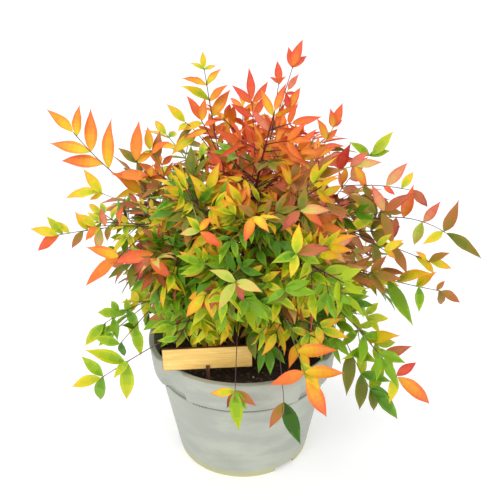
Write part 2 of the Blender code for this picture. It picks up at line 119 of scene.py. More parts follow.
def add_sweep():
    profile = [(SWEEP_FRONT, 0.0)]
    for step in range(SWEEP_STEPS + 1):
        turn = math.radians(90.0 * step / SWEEP_STEPS)
        back = SWEEP_BEND_START + SWEEP_RADIUS * math.sin(turn)
        profile.append((back, SWEEP_RADIUS * (1 - math.cos(turn))))
    profile.append((SWEEP_BEND_START + SWEEP_RADIUS, SWEEP_TOP))
    corners = [(x, y, z) for x in (-SWEEP_HALF_WIDTH, SWEEP_HALF_WIDTH) for y, z in profile]
    count = len(profile)
    faces = [(i, i + count, i + 1 + count, i + 1) for i in range(count - 1)]
    card, shader, node, link = new_material("glowing_white_sheet")
    shader.inputs["Base Color"].default_value = from_display(*SWEEP_WHITE)
    shader.inputs["Emission Color"].default_value = (1.0, 1.0, 1.0, 1.0)
    shader.inputs["Emission Strength"].default_value = SWEEP_GLOW
    grain = node("ShaderNodeTexNoise")
    grain.inputs["Scale"].default_value = SWEEP_GRAIN_SCALE
    spread = node("ShaderNodeMapRange")
    spread.inputs["To Min"].default_value = SWEEP_ROUGHNESS[0]
    spread.inputs["To Max"].default_value = SWEEP_ROUGHNESS[1]
    link(grain.outputs["Fac"], spread.inputs["Value"])
    link(spread.outputs["Result"], shader.inputs["Roughness"])
    sweep = new_piece("white_sweep", corners, faces, [card])
    shade_round(sweep, 60.0)


def add_lamps():
    world = bpy.data.worlds.new("soft_light")
    bpy.context.scene.world = world
    world.use_nodes = True
    background = world.node_tree.nodes["Background"]
    background.inputs["Color"].default_value = (1.0, 1.0, 1.0, 1.0)
    background.inputs["Strength"].default_value = ROOM_LIGHT
    for name, (place, size, power) in LAMPS.items():
        lamp = bpy.data.lights.new(name, "AREA")
        lamp.size = size
        lamp.energy = power
        holder = bpy.data.objects.new(name, lamp)
        holder.location = place
        holder.rotation_euler = (LAMPS_AIM - Vector(place)).to_track_quat("-Z", "Y").to_euler()
        bpy.context.scene.collection.objects.link(holder)


add_camera()
add_sweep()
add_lamps()
bpy.context.scene.view_settings.view_transform = "Standard"


# The pot
# A light grey nursery container, moulded in one piece of polypropylene, with a turned-out collar for the
# grip. Four upright recesses break the collar, small ribs stiffen it from below, and the foot has drain
# notches. A chalky bloom has settled on it, and the wall under the collar is darkened with painted shade.

UP = Vector((0.0, 0.0, 1.0))
POT_HEIGHT = 0.180
POT_BASE_RADIUS = 0.097
POT_TOP_RADIUS = 0.130
POT_WALL = 0.003
POT_FLOOR = 0.004
POT_AROUND = 288
COLLAR_HEIGHT = 0.041
COLLAR_PROUD_TOP = 0.005
COLLAR_PROUD_FOOT = 0.008
COLLAR_EDGE = 0.0016
RECESS_FIRST = 45.0
RECESS_COUNT = 4
RECESS_HALF_WIDTH = 6.0
RECESS_RAMP = 6.0
COLLAR_DROP = 0.0008
UNDER_COLLAR_START = 0.0016
UNDER_COLLAR_END = 0.0004
UNDER_COLLAR_HOLLOW = 0.004
LIP_ROUND = 0.0018
LIP_INNER_ROUND = 0.001
FOOT_ROUND = 0.0016
FOOT_INSET = 0.006
COLLAR_STEPS = 8
WALL_STEPS = 16
WALL_SHORT = 0.002
RIPPLE = 0.00045
RIPPLE_SCALE = 14.0
RIPPLE_RISE = 26.0
RIPPLE_TURN = 2.0
RIBS_BESIDE_RECESS = 5
RIB_FIRST = 1.5
RIB_STEP = 2.1
RIB_THICKNESS = 0.0009
RIB_DEPTH = 0.0058
RIB_FOOT_DEPTH = 0.0016
RIB_HEIGHT = 0.010
RIB_SINK = 0.0010
RIB_SINK_UP = 0.0005
NOTCH_FIRST = -52.0
NOTCH_COUNT = 3
NOTCH_WIDTH = 0.034
NOTCH_HEIGHT = 0.007
NOTCH_DEPTH = 0.011
NOTCH_SPARE = 0.0012
YELLOWED_FOOT = 0.016
# Painted shade on the wall under the collar: darkest this far under the collar, and gone this far under it
PAINTED_SHADE_START = 0.0072
PAINTED_SHADE_REACH = 0.0112
# The last colour is painted shade, for the band on the wall under the collar
POT_COLOURS = {
    "dust": (164, 168, 157), "bloom": (181, 185, 172), "yellowed": (192, 188, 128),
    "speck": (134, 137, 126), "painted_shade_band": (82, 84, 76),
}
POT_WEAR = (13.0, 420.0, (1.0, 1.0, 2.6))
POT_SPECK_SHARE = 0.10
POT_ROUGHNESS = (0.42, 0.60)
POT_GRAIN = 0.00006
POT_GLOSS = 0.35
WEAR_EDGES = (0.38, 0.66)


def wear_group():
    """A shader group: soft blotches and fine specks in the object's own space."""
    group = bpy.data.node_groups.new("blotch_and_speck", "ShaderNodeTree")
    face = group.interface
    face.new_socket("Blotch Scale", in_out="INPUT", socket_type="NodeSocketFloat")
    face.new_socket("Speck Scale", in_out="INPUT", socket_type="NodeSocketFloat")
    face.new_socket("Stretch", in_out="INPUT", socket_type="NodeSocketVector")
    face.new_socket("Blotch", in_out="OUTPUT", socket_type="NodeSocketFloat")
    face.new_socket("Speck", in_out="OUTPUT", socket_type="NodeSocketFloat")
    node, link = group.nodes.new, group.links.new
    given, result = node("NodeGroupInput"), node("NodeGroupOutput")
    place = node("ShaderNodeTexCoord")
    stretched = node("ShaderNodeVectorMath")
    stretched.operation = "MULTIPLY"
    link(place.outputs["Object"], stretched.inputs[0])
    link(given.outputs["Stretch"], stretched.inputs[1])
    for label in ("Blotch", "Speck"):
        pattern = node("ShaderNodeTexNoise")
        pattern.inputs["Detail"].default_value = 3.0
        pattern.inputs["Roughness"].default_value = 0.6
        link(stretched.outputs["Vector"], pattern.inputs["Vector"])
        link(given.outputs[f"{label} Scale"], pattern.inputs["Scale"])
        clear = node("ShaderNodeMapRange")
        clear.interpolation_type = "SMOOTHSTEP"
        clear.inputs["From Min"].default_value = WEAR_EDGES[0]
        clear.inputs["From Max"].default_value = WEAR_EDGES[1]
        link(pattern.outputs["Fac"], clear.inputs["Value"])
        link(clear.outputs["Result"], result.inputs[label])
    return group


WEAR = wear_group()


def add_wear(node, blotch_scale, speck_scale, stretch=(1.0, 1.0, 1.0)):
    """Blotches and specks for one finish. The stretch squeezes them along each axis."""
    wear = node("ShaderNodeGroup")
    wear.node_tree = WEAR
    wear.inputs["Blotch Scale"].default_value = blotch_scale
    wear.inputs["Speck Scale"].default_value = speck_scale
    wear.inputs["Stretch"].default_value = stretch
    return wear


def blend_colours(node, link, mask, first, second):
    """A colour between two, by a mask. Either colour is a plain one or a socket."""
    mix = node("ShaderNodeMix")
    mix.data_type = "RGBA"
    link(mask, mix.inputs["Factor"])
    for socket, colour in ((mix.inputs[6], first), (mix.inputs[7], second)):
        if isinstance(colour, tuple):
            socket.default_value = colour
        else:
            link(colour, socket)
    return mix.outputs[2]


def fit_range(node, link, value, low, high, start=0.0, end=1.0):
    """A value that runs from low to high while another runs from start to end."""
    fitted = node("ShaderNodeMapRange")
    link(value, fitted.inputs["Value"])
    for label, number in (("From Min", start), ("From Max", end), ("To Min", low), ("To Max", high)):
        fitted.inputs[label].default_value = number
    return fitted.outputs["Result"]


def add_relief(node, link, shader, height, depth):
    """Bump of a height that runs from 0 to 1, with its real depth in metres."""
    bump = node("ShaderNodeBump")
    bump.inputs["Strength"].default_value = 1.0
    bump.inputs["Distance"].default_value = depth
    link(height, bump.inputs["Height"])
    link(bump.outputs["Normal"], shader.inputs["Normal"])


def height_share(node, link, low, high):
    """0 at one height of the object and 1 at another."""
    place = node("ShaderNodeTexCoord")
    split = node("ShaderNodeSeparateXYZ")
    link(place.outputs["Object"], split.inputs["Vector"])
    return fit_range(node, link, split.outputs["Z"], 0.0, 1.0, low, high)


def pot_plastic():
    """Grey plastic: yellowed at the foot, and with a dark band of painted shade on the wall under the
    collar.
    """
    plastic, shader, node, link = new_material("grey_pot_plastic")
    dust, bloom, yellowed, speck, painted_shade_colour = (from_display(*colour) for colour in POT_COLOURS.values())
    wear = add_wear(node, *POT_WEAR)
    dusty = blend_colours(node, link, wear.outputs["Blotch"], dust, bloom)
    foot = height_share(node, link, YELLOWED_FOOT, 0.0)
    tinted = blend_colours(node, link, foot, dusty, yellowed)
    speckled = fit_range(node, link, wear.outputs["Speck"], 0.0, POT_SPECK_SHARE)
    marked = blend_colours(node, link, speckled, tinted, speck)
    under_collar = POT_HEIGHT - COLLAR_HEIGHT
    # Painted shade: a dark band on the wall just under the collar, where the collar's shadow falls
    painted_shade_band = height_share(node, link, under_collar - PAINTED_SHADE_REACH, under_collar - PAINTED_SHADE_START)
    above = height_share(node, link, under_collar, under_collar - PAINTED_SHADE_START)
    both = node("ShaderNodeMath")
    both.operation = "MULTIPLY"
    link(painted_shade_band, both.inputs[0])
    link(above, both.inputs[1])
    link(blend_colours(node, link, both.outputs[0], marked, painted_shade_colour), shader.inputs["Base Color"])
    link(fit_range(node, link, wear.outputs["Blotch"], *POT_ROUGHNESS), shader.inputs["Roughness"])
    add_relief(node, link, shader, wear.outputs["Speck"], POT_GRAIN)
    shader.inputs["Specular IOR Level"].default_value = POT_GLOSS
    return plastic


def wall_radius(height):
    return POT_BASE_RADIUS + (POT_TOP_RADIUS - POT_BASE_RADIUS) * height / POT_HEIGHT


def panel_share(angle):
    """1 on a panel of the collar, 0 in a recess, and a rounded turn between them."""
    period = 360.0 / RECESS_COUNT
    off = abs((angle - RECESS_FIRST + period / 2) % period - period / 2)
    ramp = min(1.0, max(0.0, (off - RECESS_HALF_WIDTH) / RECESS_RAMP))
    return ramp * ramp * (3 - 2 * ramp)


def arc_rings(centre_radius, centre_height, round_by, first, last, steps, proud):
    """Rings round an eased edge, each (radius, height, how far the panels stand proud)."""
    rings = []
    for step in range(steps + 1):
        turn = math.radians(first + (last - first) * step / steps)
        reach = centre_radius + round_by * math.cos(turn)
        rings.append((reach, centre_height + round_by * math.sin(turn), proud))
    return rings


def turned_body(rings, around, unevenness=0.0):
    """Corners and faces of a closed body of rings."""
    corners, faces = [], []
    for radius, height, proud in rings:
        for step in range(around):
            angle = 360.0 * step / around
            reach = radius + proud * panel_share(angle)
            turn = math.radians(angle)
            spot = Vector((reach * math.cos(turn), reach * math.sin(turn), height))
            slant = height * RIPPLE_RISE + turn * RIPPLE_TURN
            sample = Vector((spot.x * RIPPLE_SCALE, spot.y * RIPPLE_SCALE, slant))
            swell = noise.noise(sample) * unevenness
            corners.append(spot + Vector((spot.x, spot.y, 0.0)).normalized() * swell)
    for ring in range(len(rings) - 1):
        for step in range(around):
            a, b = ring * around + step, ring * around + (step + 1) % around
            faces.append((a, b, b + around, a + around))
    faces.append(tuple(reversed(range(around))))
    faces.append(tuple((len(rings) - 1) * around + step for step in range(around)))
    return corners, faces


def block(size):
    """Corners and faces of a box about its own middle."""
    half = [side / 2 for side in size]
    signs = ((-1, -1), (1, -1), (1, 1), (-1, 1))
    corners = [Vector((x * half[0], y * half[1], z * half[2])) for z in (-1, 1) for x, y in signs]
    sides = [(i, (i + 1) % 4, (i + 1) % 4 + 4, i + 4) for i in range(4)]
    return corners, [(3, 2, 1, 0), (4, 5, 6, 7), *sides]


def pot_rings():
    """Rings up the outside of the pot, over its lip and down the inside."""
    collar_foot = POT_HEIGHT - COLLAR_HEIGHT
    rings = [(POT_BASE_RADIUS - FOOT_INSET, 0.0, 0.0)]
    rings += arc_rings(wall_radius(0.0) - FOOT_ROUND, FOOT_ROUND, FOOT_ROUND, -90, 0, 4, 0.0)
    for step in range(1, WALL_STEPS):
        height = FOOT_ROUND + (collar_foot - WALL_SHORT - FOOT_ROUND) * step / WALL_STEPS
        rings.append((wall_radius(height), height, 0.0))
    rings.append((wall_radius(collar_foot), collar_foot - UNDER_COLLAR_START, 0.0))
    hollow = COLLAR_PROUD_FOOT - UNDER_COLLAR_HOLLOW
    rings.append((wall_radius(collar_foot), collar_foot - UNDER_COLLAR_END, hollow))
    edge = wall_radius(collar_foot) - COLLAR_EDGE
    edge_height = collar_foot + COLLAR_EDGE - COLLAR_DROP
    rings += arc_rings(edge, edge_height, COLLAR_EDGE, -80, 0, 4, COLLAR_PROUD_FOOT)
    for step in range(1, COLLAR_STEPS):
        share = step / COLLAR_STEPS
        height = collar_foot + COLLAR_EDGE + (COLLAR_HEIGHT - COLLAR_EDGE - LIP_ROUND) * share
        proud = COLLAR_PROUD_FOOT + (COLLAR_PROUD_TOP - COLLAR_PROUD_FOOT) * share
        rings.append((wall_radius(height), height, proud))
    lip = wall_radius(POT_HEIGHT) - LIP_ROUND
    rings += arc_rings(lip, POT_HEIGHT - LIP_ROUND, LIP_ROUND, 0, 90, 5, COLLAR_PROUD_TOP)
    inner = wall_radius(POT_HEIGHT) - POT_WALL
    inner_lip, inner_height = inner + LIP_INNER_ROUND, POT_HEIGHT - LIP_INNER_ROUND
    rings += arc_rings(inner_lip, inner_height, LIP_INNER_ROUND, 90, 180, 3, 0.0)
    for share in (0.8, 0.6, 0.4, 0.2, 0.0):
        height = POT_FLOOR + (POT_HEIGHT - POT_FLOOR) * share
        rings.append((wall_radius(height) - POT_WALL, height, 0.0))
    return rings


def add_ribs(pot):
    """Small upright ribs between the wall and the collar, on both sides of every recess."""
    body = bmesh.new()
    body.from_mesh(pot.data)
    corners, faces = block((RIB_DEPTH, RIB_THICKNESS, RIB_HEIGHT))
    height = POT_HEIGHT - COLLAR_HEIGHT - RIB_HEIGHT / 2 + RIB_SINK_UP
    for recess in range(RECESS_COUNT):
        for hand in (-1, 1):
            for rib in range(RIBS_BESIDE_RECESS):
                off = RECESS_HALF_WIDTH + RECESS_RAMP + RIB_FIRST + RIB_STEP * rib
                angle = math.radians(RECESS_FIRST + 360.0 / RECESS_COUNT * recess + hand * off)
                middle = wall_radius(height) + RIB_DEPTH / 2 - RIB_SINK
                made = []
                for corner in corners:
                    reach = corner.x
                    if corner.z < 0 and corner.x > 0:
                        reach = -RIB_DEPTH / 2 + RIB_FOOT_DEPTH
                    spot = Vector((middle + reach, corner.y, height + corner.z))
                    made.append(body.verts.new(Quaternion(UP, angle) @ spot))
                for face in faces:
                    body.faces.new([made[i] for i in face])
    body.to_mesh(pot.data)
    body.free()


def build_pot():
    """The pot, with the notches cut out of its foot and their cutters thrown away."""
    corners, faces = turned_body(pot_rings(), POT_AROUND, RIPPLE)
    pot = new_piece("pot_body", corners, faces, [pot_plastic()])
    middle = POT_BASE_RADIUS - NOTCH_DEPTH / 2 + NOTCH_SPARE
    cutters = []
    for number in range(NOTCH_COUNT):
        turn = math.radians(NOTCH_FIRST + 360.0 * number / NOTCH_COUNT)
        shape = block((NOTCH_DEPTH + 2 * NOTCH_SPARE, NOTCH_WIDTH, 2 * NOTCH_HEIGHT))
        cutter = new_piece(f"notch_cutter_{number}", *shape, [])
        cutter.location = (middle * math.cos(turn), middle * math.sin(turn), 0.0)
        cutter.rotation_euler.z = turn
        cut = pot.modifiers.new(f"notch_{number}", "BOOLEAN")
        cut.operation = "DIFFERENCE"
        cut.object = cutter
        cutters.append(cutter)
    bpy.context.view_layer.update()
    cut_pot = pot.evaluated_get(bpy.context.evaluated_depsgraph_get())
    notched = bpy.data.meshes.new_from_object(cut_pot)
    pot.modifiers.clear()
    pot.data = notched
    for cutter in cutters:
        bpy.data.objects.remove(cutter, do_unlink=True)
    add_ribs(pot)
    shade_round(pot, 32.0)
    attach(pot, "root")
    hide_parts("pot")


build_pot()


# The potting soil
# Dark peat with composted bark, filled to a finger's width under the rim and pressed down by hand.
# Its surface is lumpy, with loose bark chips and a few white grains of perlite on it.

SOIL_TOP = 0.152
SOIL_GAP = 0.0005
SOIL_EDGE = 0.003
SOIL_AROUND = 144
SOIL_RINGS = 34
SOIL_RINGS_REACH = 0.985
SOIL_LUMP = 0.0016
SOIL_LUMP_SCALES = (60.0, 170.0)
PEAT_COLOURS = ((30, 22, 17), (54, 40, 29), (72, 55, 40))
PEAT_WEAR = (90.0, 600.0)
PEAT_ROUGHNESS = (0.8, 0.98)
PEAT_GRAIN = 0.0006
FULL_TURN = 6.28
CHIP_SEED = 11
CHIP_COUNT = 620
CHIP_SIZES = (0.0012, 0.0042)
CHIP_WIDTHS = (0.4, 0.8)
CHIP_HEIGHTS = (0.25, 0.5)
CHIP_UNEVENNESS = 0.22
CHIP_TILT = 0.5
CHIP_RISE = 0.4
CHIPS_INSET = 0.008
PERLITE_SHARE = 0.05
PERLITE_SIZE = 0.6
CHIP_COLOURS = {
    "dark_bark_chip": (62, 42, 28), "brown_bark_chip": (104, 72, 46), "perlite_grain": (214, 208, 196),
}
CHIP_WEAR = (500.0, 1400.0)
CHIP_DULLNESS = (0.7, 0.95)
CHIP_GRAIN = 0.0002


def peat():
    dark, shader, node, link = new_material("dark_peat")
    wet, damp, dry = (from_display(*colour) for colour in PEAT_COLOURS)
    wear = add_wear(node, *PEAT_WEAR)
    patchy = blend_colours(node, link, wear.outputs["Blotch"], wet, damp)
    link(blend_colours(node, link, wear.outputs["Speck"], patchy, dry), shader.inputs["Base Color"])
    link(fit_range(node, link, wear.outputs["Blotch"], *PEAT_ROUGHNESS), shader.inputs["Roughness"])
    add_relief(node, link, shader, wear.outputs["Speck"], PEAT_GRAIN)
    return dark


def chip_finish(name, colour):
    finish, shader, node, link = new_material(name)
    wear = add_wear(node, *CHIP_WEAR)
    shader.inputs["Base Color"].default_value = from_display(*colour)
    link(fit_range(node, link, wear.outputs["Blotch"], *CHIP_DULLNESS), shader.inputs["Roughness"])
    add_relief(node, link, shader, wear.outputs["Speck"], CHIP_GRAIN)
    return finish


def soil_height(x, y):
    """The height of the lumpy soil at a spot of the pot."""
    coarse, fine = SOIL_LUMP_SCALES
    lump = noise.noise(Vector((x * coarse, y * coarse, 0.0)))
    lump += 0.5 * noise.noise(Vector((x * fine, y * fine, 3.0)))
    return SOIL_TOP - SOIL_LUMP + lump * SOIL_LUMP


def build_soil():
    foot = POT_FLOOR + SOIL_GAP
    inset = POT_WALL + SOIL_GAP + RIPPLE
    shoulder = SOIL_TOP - SOIL_EDGE
    widest = wall_radius(shoulder) - inset
    rings = [(wall_radius(foot) - inset, foot, 0.0), (widest, shoulder, 0.0)]
    for step in range(1, SOIL_RINGS + 1):
        rings.append((widest * (1.0 - SOIL_RINGS_REACH * (step / SOIL_RINGS)), SOIL_TOP, 0.0))
    corners, faces = turned_body(rings, SOIL_AROUND)
    for corner in corners[2 * SOIL_AROUND:]:
        corner.z = soil_height(corner.x, corner.y)
    soil = new_piece("soil_body", corners, faces, [peat()])
    shade_round(soil, 70.0)
    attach(soil, "root")
    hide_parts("soil")


def build_chips():
    """Rough little balls, flattened for bark and left round for perlite."""
    rng = random.Random(CHIP_SEED)
    body = bmesh.new()
    bmesh.ops.create_icosphere(body, subdivisions=1, radius=1.0)
    ball = [v.co.copy() for v in body.verts]
    ball_faces = [[v.index for v in face.verts] for face in body.faces]
    body.free()
    corners, faces, finishes = [], [], []
    reach = wall_radius(SOIL_TOP) - POT_WALL - CHIPS_INSET
    for _ in range(CHIP_COUNT):
        angle, share = rng.uniform(0, 2 * math.pi), math.sqrt(rng.random())
        spot = Vector((reach * share * math.cos(angle), reach * share * math.sin(angle), 0.0))
        white = rng.random() < PERLITE_SHARE
        size = rng.uniform(*CHIP_SIZES) * (PERLITE_SIZE if white else 1.0)
        spread = (1.0, 1.0, 1.0) if white else (1.0, rng.uniform(*CHIP_WIDTHS), rng.uniform(*CHIP_HEIGHTS))
        turn = Quaternion(UP, rng.uniform(0, FULL_TURN))
        turn = turn @ Quaternion((1, 0, 0), rng.uniform(-CHIP_TILT, CHIP_TILT))
        spot.z = soil_height(spot.x, spot.y) + size * spread[2] * CHIP_RISE
        first = len(corners)
        for point in ball:
            rough = 1.0 + rng.uniform(-CHIP_UNEVENNESS, CHIP_UNEVENNESS)
            flat = Vector((point.x * spread[0], point.y * spread[1], point.z * spread[2])) * (size * rough)
            corners.append(spot + turn @ flat)
        faces += [[first + i for i in face] for face in ball_faces]
        finishes += [2 if white else rng.choice((0, 1))] * len(ball_faces)
    chips = [chip_finish(name, colour) for name, colour in CHIP_COLOURS.items()]
    loose = new_piece("soil_bark_chips", corners, faces, chips, finishes)
    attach(loose, "root")
    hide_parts("soil")


build_soil()
build_chips()


# The label
# A bare strip of thin birch plywood, cut by a hot beam that left its edges brown.
# It is pushed into the split end of a dark hazel stake that stands in the soil behind the rim.

CLEARANCE = 0.0003
BOARD_WIDTH = 0.114
BOARD_HEIGHT = 0.031
BOARD_THICKNESS = 0.004
BOARD_FOOT = Vector((-0.044, -0.103, 0.1860))
BOARD_TURN = 5.0
BOARD_EDGE = 0.0005
BOARD_SCORCH = 0.0009
BOARD_CHARRED = 0.0001
PLY_COLOURS = {
    "pale": (236, 192, 104), "golden": (246, 210, 126), "streak": (214, 164, 78), "scorch": (92, 52, 26),
}
PLY_WEAR = (42.0, 150.0, (0.35, 1.0, 6.0))
PLY_STREAK_SHARE = 0.45
PLY_ROUGHNESS = (0.55, 0.75)
PLY_GRAIN = 0.00008
STAKE_WIDTH = 0.005
STAKE_FOOT_DEPTH = 0.006
STAKE_CHEEK = 0.0022
STAKE_GRIP = 0.006
STAKE_EDGE = 0.0007
STAKE_BULGE = 0.0004
HAZEL_COLOURS = ((84, 50, 30), (132, 86, 52), (58, 34, 22))
HAZEL_WEAR = (220.0, 900.0, (1.0, 1.0, 0.12))
HAZEL_ROUGHNESS = (0.6, 0.85)
HAZEL_GRAIN = 0.00025


def edge_distance(node, link, socket, half):
    """How far inside the half size a coordinate lies."""
    size = node("ShaderNodeMath")
    size.operation = "ABSOLUTE"
    link(socket, size.inputs[0])
    inside = node("ShaderNodeMath")
    inside.operation = "SUBTRACT"
    inside.inputs[0].default_value = half
    link(size.outputs[0], inside.inputs[1])
    return inside.outputs[0]


def plywood():
    """Birch ply with its grain along the board, and browned where the beam cut it."""
    ply, shader, node, link = new_material("scorched_plywood")
    pale, golden, streak, brown = (from_display(*colour) for colour in PLY_COLOURS.values())
    wear = add_wear(node, *PLY_WEAR)
    face = blend_colours(node, link, wear.outputs["Blotch"], pale, golden)
    streaked = fit_range(node, link, wear.outputs["Speck"], 0.0, PLY_STREAK_SHARE)
    grained = blend_colours(node, link, streaked, face, streak)
    place = node("ShaderNodeTexCoord")
    split = node("ShaderNodeSeparateXYZ")
    link(place.outputs["Object"], split.inputs["Vector"])
    nearest = node("ShaderNodeMath")
    nearest.operation = "MINIMUM"
    link(edge_distance(node, link, split.outputs["X"], BOARD_WIDTH / 2), nearest.inputs[0])
    link(edge_distance(node, link, split.outputs["Z"], BOARD_HEIGHT / 2), nearest.inputs[1])
    scorch = fit_range(node, link, nearest.outputs[0], 1.0, 0.0, BOARD_CHARRED, BOARD_SCORCH)
    link(blend_colours(node, link, scorch, grained, brown), shader.inputs["Base Color"])
    link(fit_range(node, link, wear.outputs["Speck"], *PLY_ROUGHNESS), shader.inputs["Roughness"])
    add_relief(node, link, shader, wear.outputs["Speck"], PLY_GRAIN)
    return ply


def hazel():
    """Weathered hazel, its grain drawn out along the stake."""
    wood, shader, node, link = new_material("dark_hazel_wood")
    dark, light, groove = (from_display(*colour) for colour in HAZEL_COLOURS)
    wear = add_wear(node, *HAZEL_WEAR)
    streaked = blend_colours(node, link, wear.outputs["Blotch"], dark, light)
    link(blend_colours(node, link, wear.outputs["Speck"], streaked, groove), shader.inputs["Base Color"])
    link(fit_range(node, link, wear.outputs["Speck"], *HAZEL_ROUGHNESS), shader.inputs["Roughness"])
    add_relief(node, link, shader, wear.outputs["Speck"], HAZEL_GRAIN)
    return wood


def ease_edges(piece, width, segments):
    body = bmesh.new()
    body.from_mesh(piece.data)
    bmesh.ops.bevel(body, geom=body.edges[:], offset=width, segments=segments, affect="EDGES", profile=0.5)
    body.to_mesh(piece.data)
    body.free()


def build_board():
    board = new_piece("label_plywood", *block((BOARD_WIDTH, BOARD_THICKNESS, BOARD_HEIGHT)), [plywood()])
    ease_edges(board, BOARD_EDGE, 3)
    shade_round(board, 40.0)
    board.location = BOARD_FOOT + UP * (BOARD_HEIGHT / 2)
    board.rotation_euler.z = math.radians(BOARD_TURN)
    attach(board, "root")
    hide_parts("label_board")


def build_stake():
    """The stake is an outline seen from the side, drawn out to its width."""
    seat = BOARD_FOOT.z - SOIL_TOP - 2 * CLEARANCE
    slit = BOARD_THICKNESS / 2 + CLEARANCE
    cheek = slit + STAKE_CHEEK
    foot = STAKE_FOOT_DEPTH / 2
    front = [(foot, 0.0), (foot + STAKE_BULGE, seat / 2), (cheek, seat), (cheek, seat + STAKE_GRIP)]
    front += [(slit, seat + STAKE_GRIP), (slit, seat)]
    outline = front + [(-y, z) for y, z in reversed(front)]
    count = len(outline)
    corners = [Vector((x * STAKE_WIDTH / 2, y, z)) for x in (-1, 1) for y, z in outline]
    faces = [tuple(reversed(range(count))), tuple(range(count, 2 * count))]
    faces += [(i, (i + 1) % count, (i + 1) % count + count, i + count) for i in range(count)]
    stake = new_piece("label_hazel_stake", corners, faces, [hazel()])
    ease_edges(stake, STAKE_EDGE, 2)
    shade_round(stake, 40.0)
    stake.location = (BOARD_FOOT.x, BOARD_FOOT.y, SOIL_TOP + CLEARANCE)
    stake.rotation_euler.z = math.radians(BOARD_TURN)
    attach(stake, "root")
    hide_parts("label_stake")


build_board()
build_stake()


# The canes
# Ten woody stems come up from the soil in a clump and hardly branch. Each flares at the soil and tapers on
# its way up. The bark is brown and furrowed, with a ring of old leaf sheaths at every joint.

CANE_PLACES = (0.0, 0.05, 0.16, 0.36, 0.58, 0.80, 1.0)
CANE_FOOT_RADIUS = 0.0042
CANE_FLARE = (1.6, 1.15)
CANE_TIP_RADIUS = 0.0022
CANE_SPREAD = 0.045
CANE_BEND = 0.55
CANE_AROUND = 18
CANE_JOINT_GAP = 0.024
RING_GAP = 0.0022
SHEATH_SWELL = 0.16
SHEATH_START = 0.45
FURROWS = 7
FURROW_DEPTH = 0.09
FURROW_WANDER = 2.2
FURROW_SHARE = 0.5
BARK_LUMP_SHARE = 0.7
BARK_WANDER_STRETCH = 0.8
BARK_LUMP_STRETCH = 2.4
BARK_LUMPS_ROUND = 2.0
BARK_SEED_STEP = 7.3
LEAST_RINGS = 8
NEAR_END = 0.9999
CANE_BARK_COLOURS = ((70, 44, 34), (138, 98, 72), (104, 96, 58))
BARK_WEAR = (260.0, 1500.0, (1.0, 1.0, 0.18))
BARK_ROUGHNESS = (0.62, 0.92)
BARK_GRAIN = 0.0003
FILM_WEAR = (34.0, 300.0)
FILM_SHARE = 0.55
HEART = Vector((0.0, 0.0, 0.285))
HEART_RADIUS = 0.062

# Each mass that a cane carries at its tip: azimuth, elevation and reach from the crown's heart
CANE_MASSES = {
    "top_right_spire": (5, 76, 0.305),
    "top_left_spire": (172, 77, 0.290),
    "top_front": (300, 70, 0.262),
    "top_back": (90, 60, 0.255),
    "left_high": (184, 42, 0.322),
    "right_high": (10, 47, 0.272),
    "front_left_high": (238, 44, 0.215),
    "front_right_high": (312, 44, 0.225),
    "back_right_high": (52, 38, 0.262),
    "back_left_high": (132, 40, 0.262),
}


def direction(azimuth, elevation):
    """A unit vector from an azimuth and an elevation in degrees."""
    turn, rise = math.radians(azimuth), math.radians(elevation)
    level = math.cos(rise)
    return Vector((math.cos(turn) * level, math.sin(turn) * level, math.sin(rise)))


def turned(vector, axis, degrees):
    """A vector turned about an axis by an angle in degrees."""
    return Quaternion(axis, math.radians(degrees)) @ vector


def square_to(heading, towards):
    """The unit vector square to heading that lies nearest to towards."""
    found = towards - heading * towards.dot(heading)
    if found.length < 0.1 * towards.length:
        spare = Vector((0.0, 1.0, 0.0))
        found = spare - heading * spare.dot(heading)
    return found.normalized()


def bend(start, control, end, share):
    """A point along the curve from start to end that is drawn towards control."""
    rest = 1.0 - share
    return start * rest**2 + control * (2 * share * rest) + end * share**2


def even(first, last, count):
    """Evenly spaced values from the first to the last, both included."""
    return [first + (last - first) * i / (count - 1) for i in range(count)]


def tube(points, ring_radii, around, first_heading=None, last_heading=None):
    """Corners and faces of a closed tube. A ring has one radius, or one for each of its corners."""
    corners, faces = [], []
    last = len(points) - 1
    across = Vector((1.0, 0.0, 0.0))
    for i, (point, radii) in enumerate(zip(points, ring_radii)):
        heading = (points[min(i + 1, last)] - points[max(i - 1, 0)]).normalized()
        if i == 0 and first_heading:
            heading = first_heading
        if i == last and last_heading:
            heading = last_heading
        across = square_to(heading, across)
        over = heading.cross(across)
        for s in range(around):
            turn = 2 * math.pi * s / around
            radius = radii if isinstance(radii, float) else radii[s]
            corners.append(point + (across * math.cos(turn) + over * math.sin(turn)) * radius)
    for i in range(last):
        for s in range(around):
            a, b = i * around + s, i * around + (s + 1) % around
            faces.append((a, b, b + around, a + around))
    faces.append(tuple(reversed(range(around))))
    faces.append(tuple(last * around + s for s in range(around)))
    return corners, faces


class Limb:
    """A tapering stem along a bent path, with its rings at the given shares of the path."""

    def __init__(self, start, control, end, places, radii, first, last):
        self.start, self.control, self.end = start, control, end
        self.places, self.radii = places, radii
        self.first, self.last = first, last
        self.points = [bend(start, control, end, place) for place in places]
        self.tip = self.points[-1]

    def shape(self, around, spare=0.0):
        return tube(self.points, [radius + spare for radius in self.radii], around, self.first, self.last)

    def at(self, place):
        """The axis point, the radius and the heading at a share of the path."""
        i = max(k for k, ring in enumerate(self.places[:-1]) if ring <= place)
        share = (place - self.places[i]) / (self.places[i + 1] - self.places[i])
        point = self.points[i].lerp(self.points[i + 1], share)
        radius = self.radii[i] + (self.radii[i + 1] - self.radii[i]) * share
        return point, radius, (self.points[i + 1] - self.points[i]).normalized()


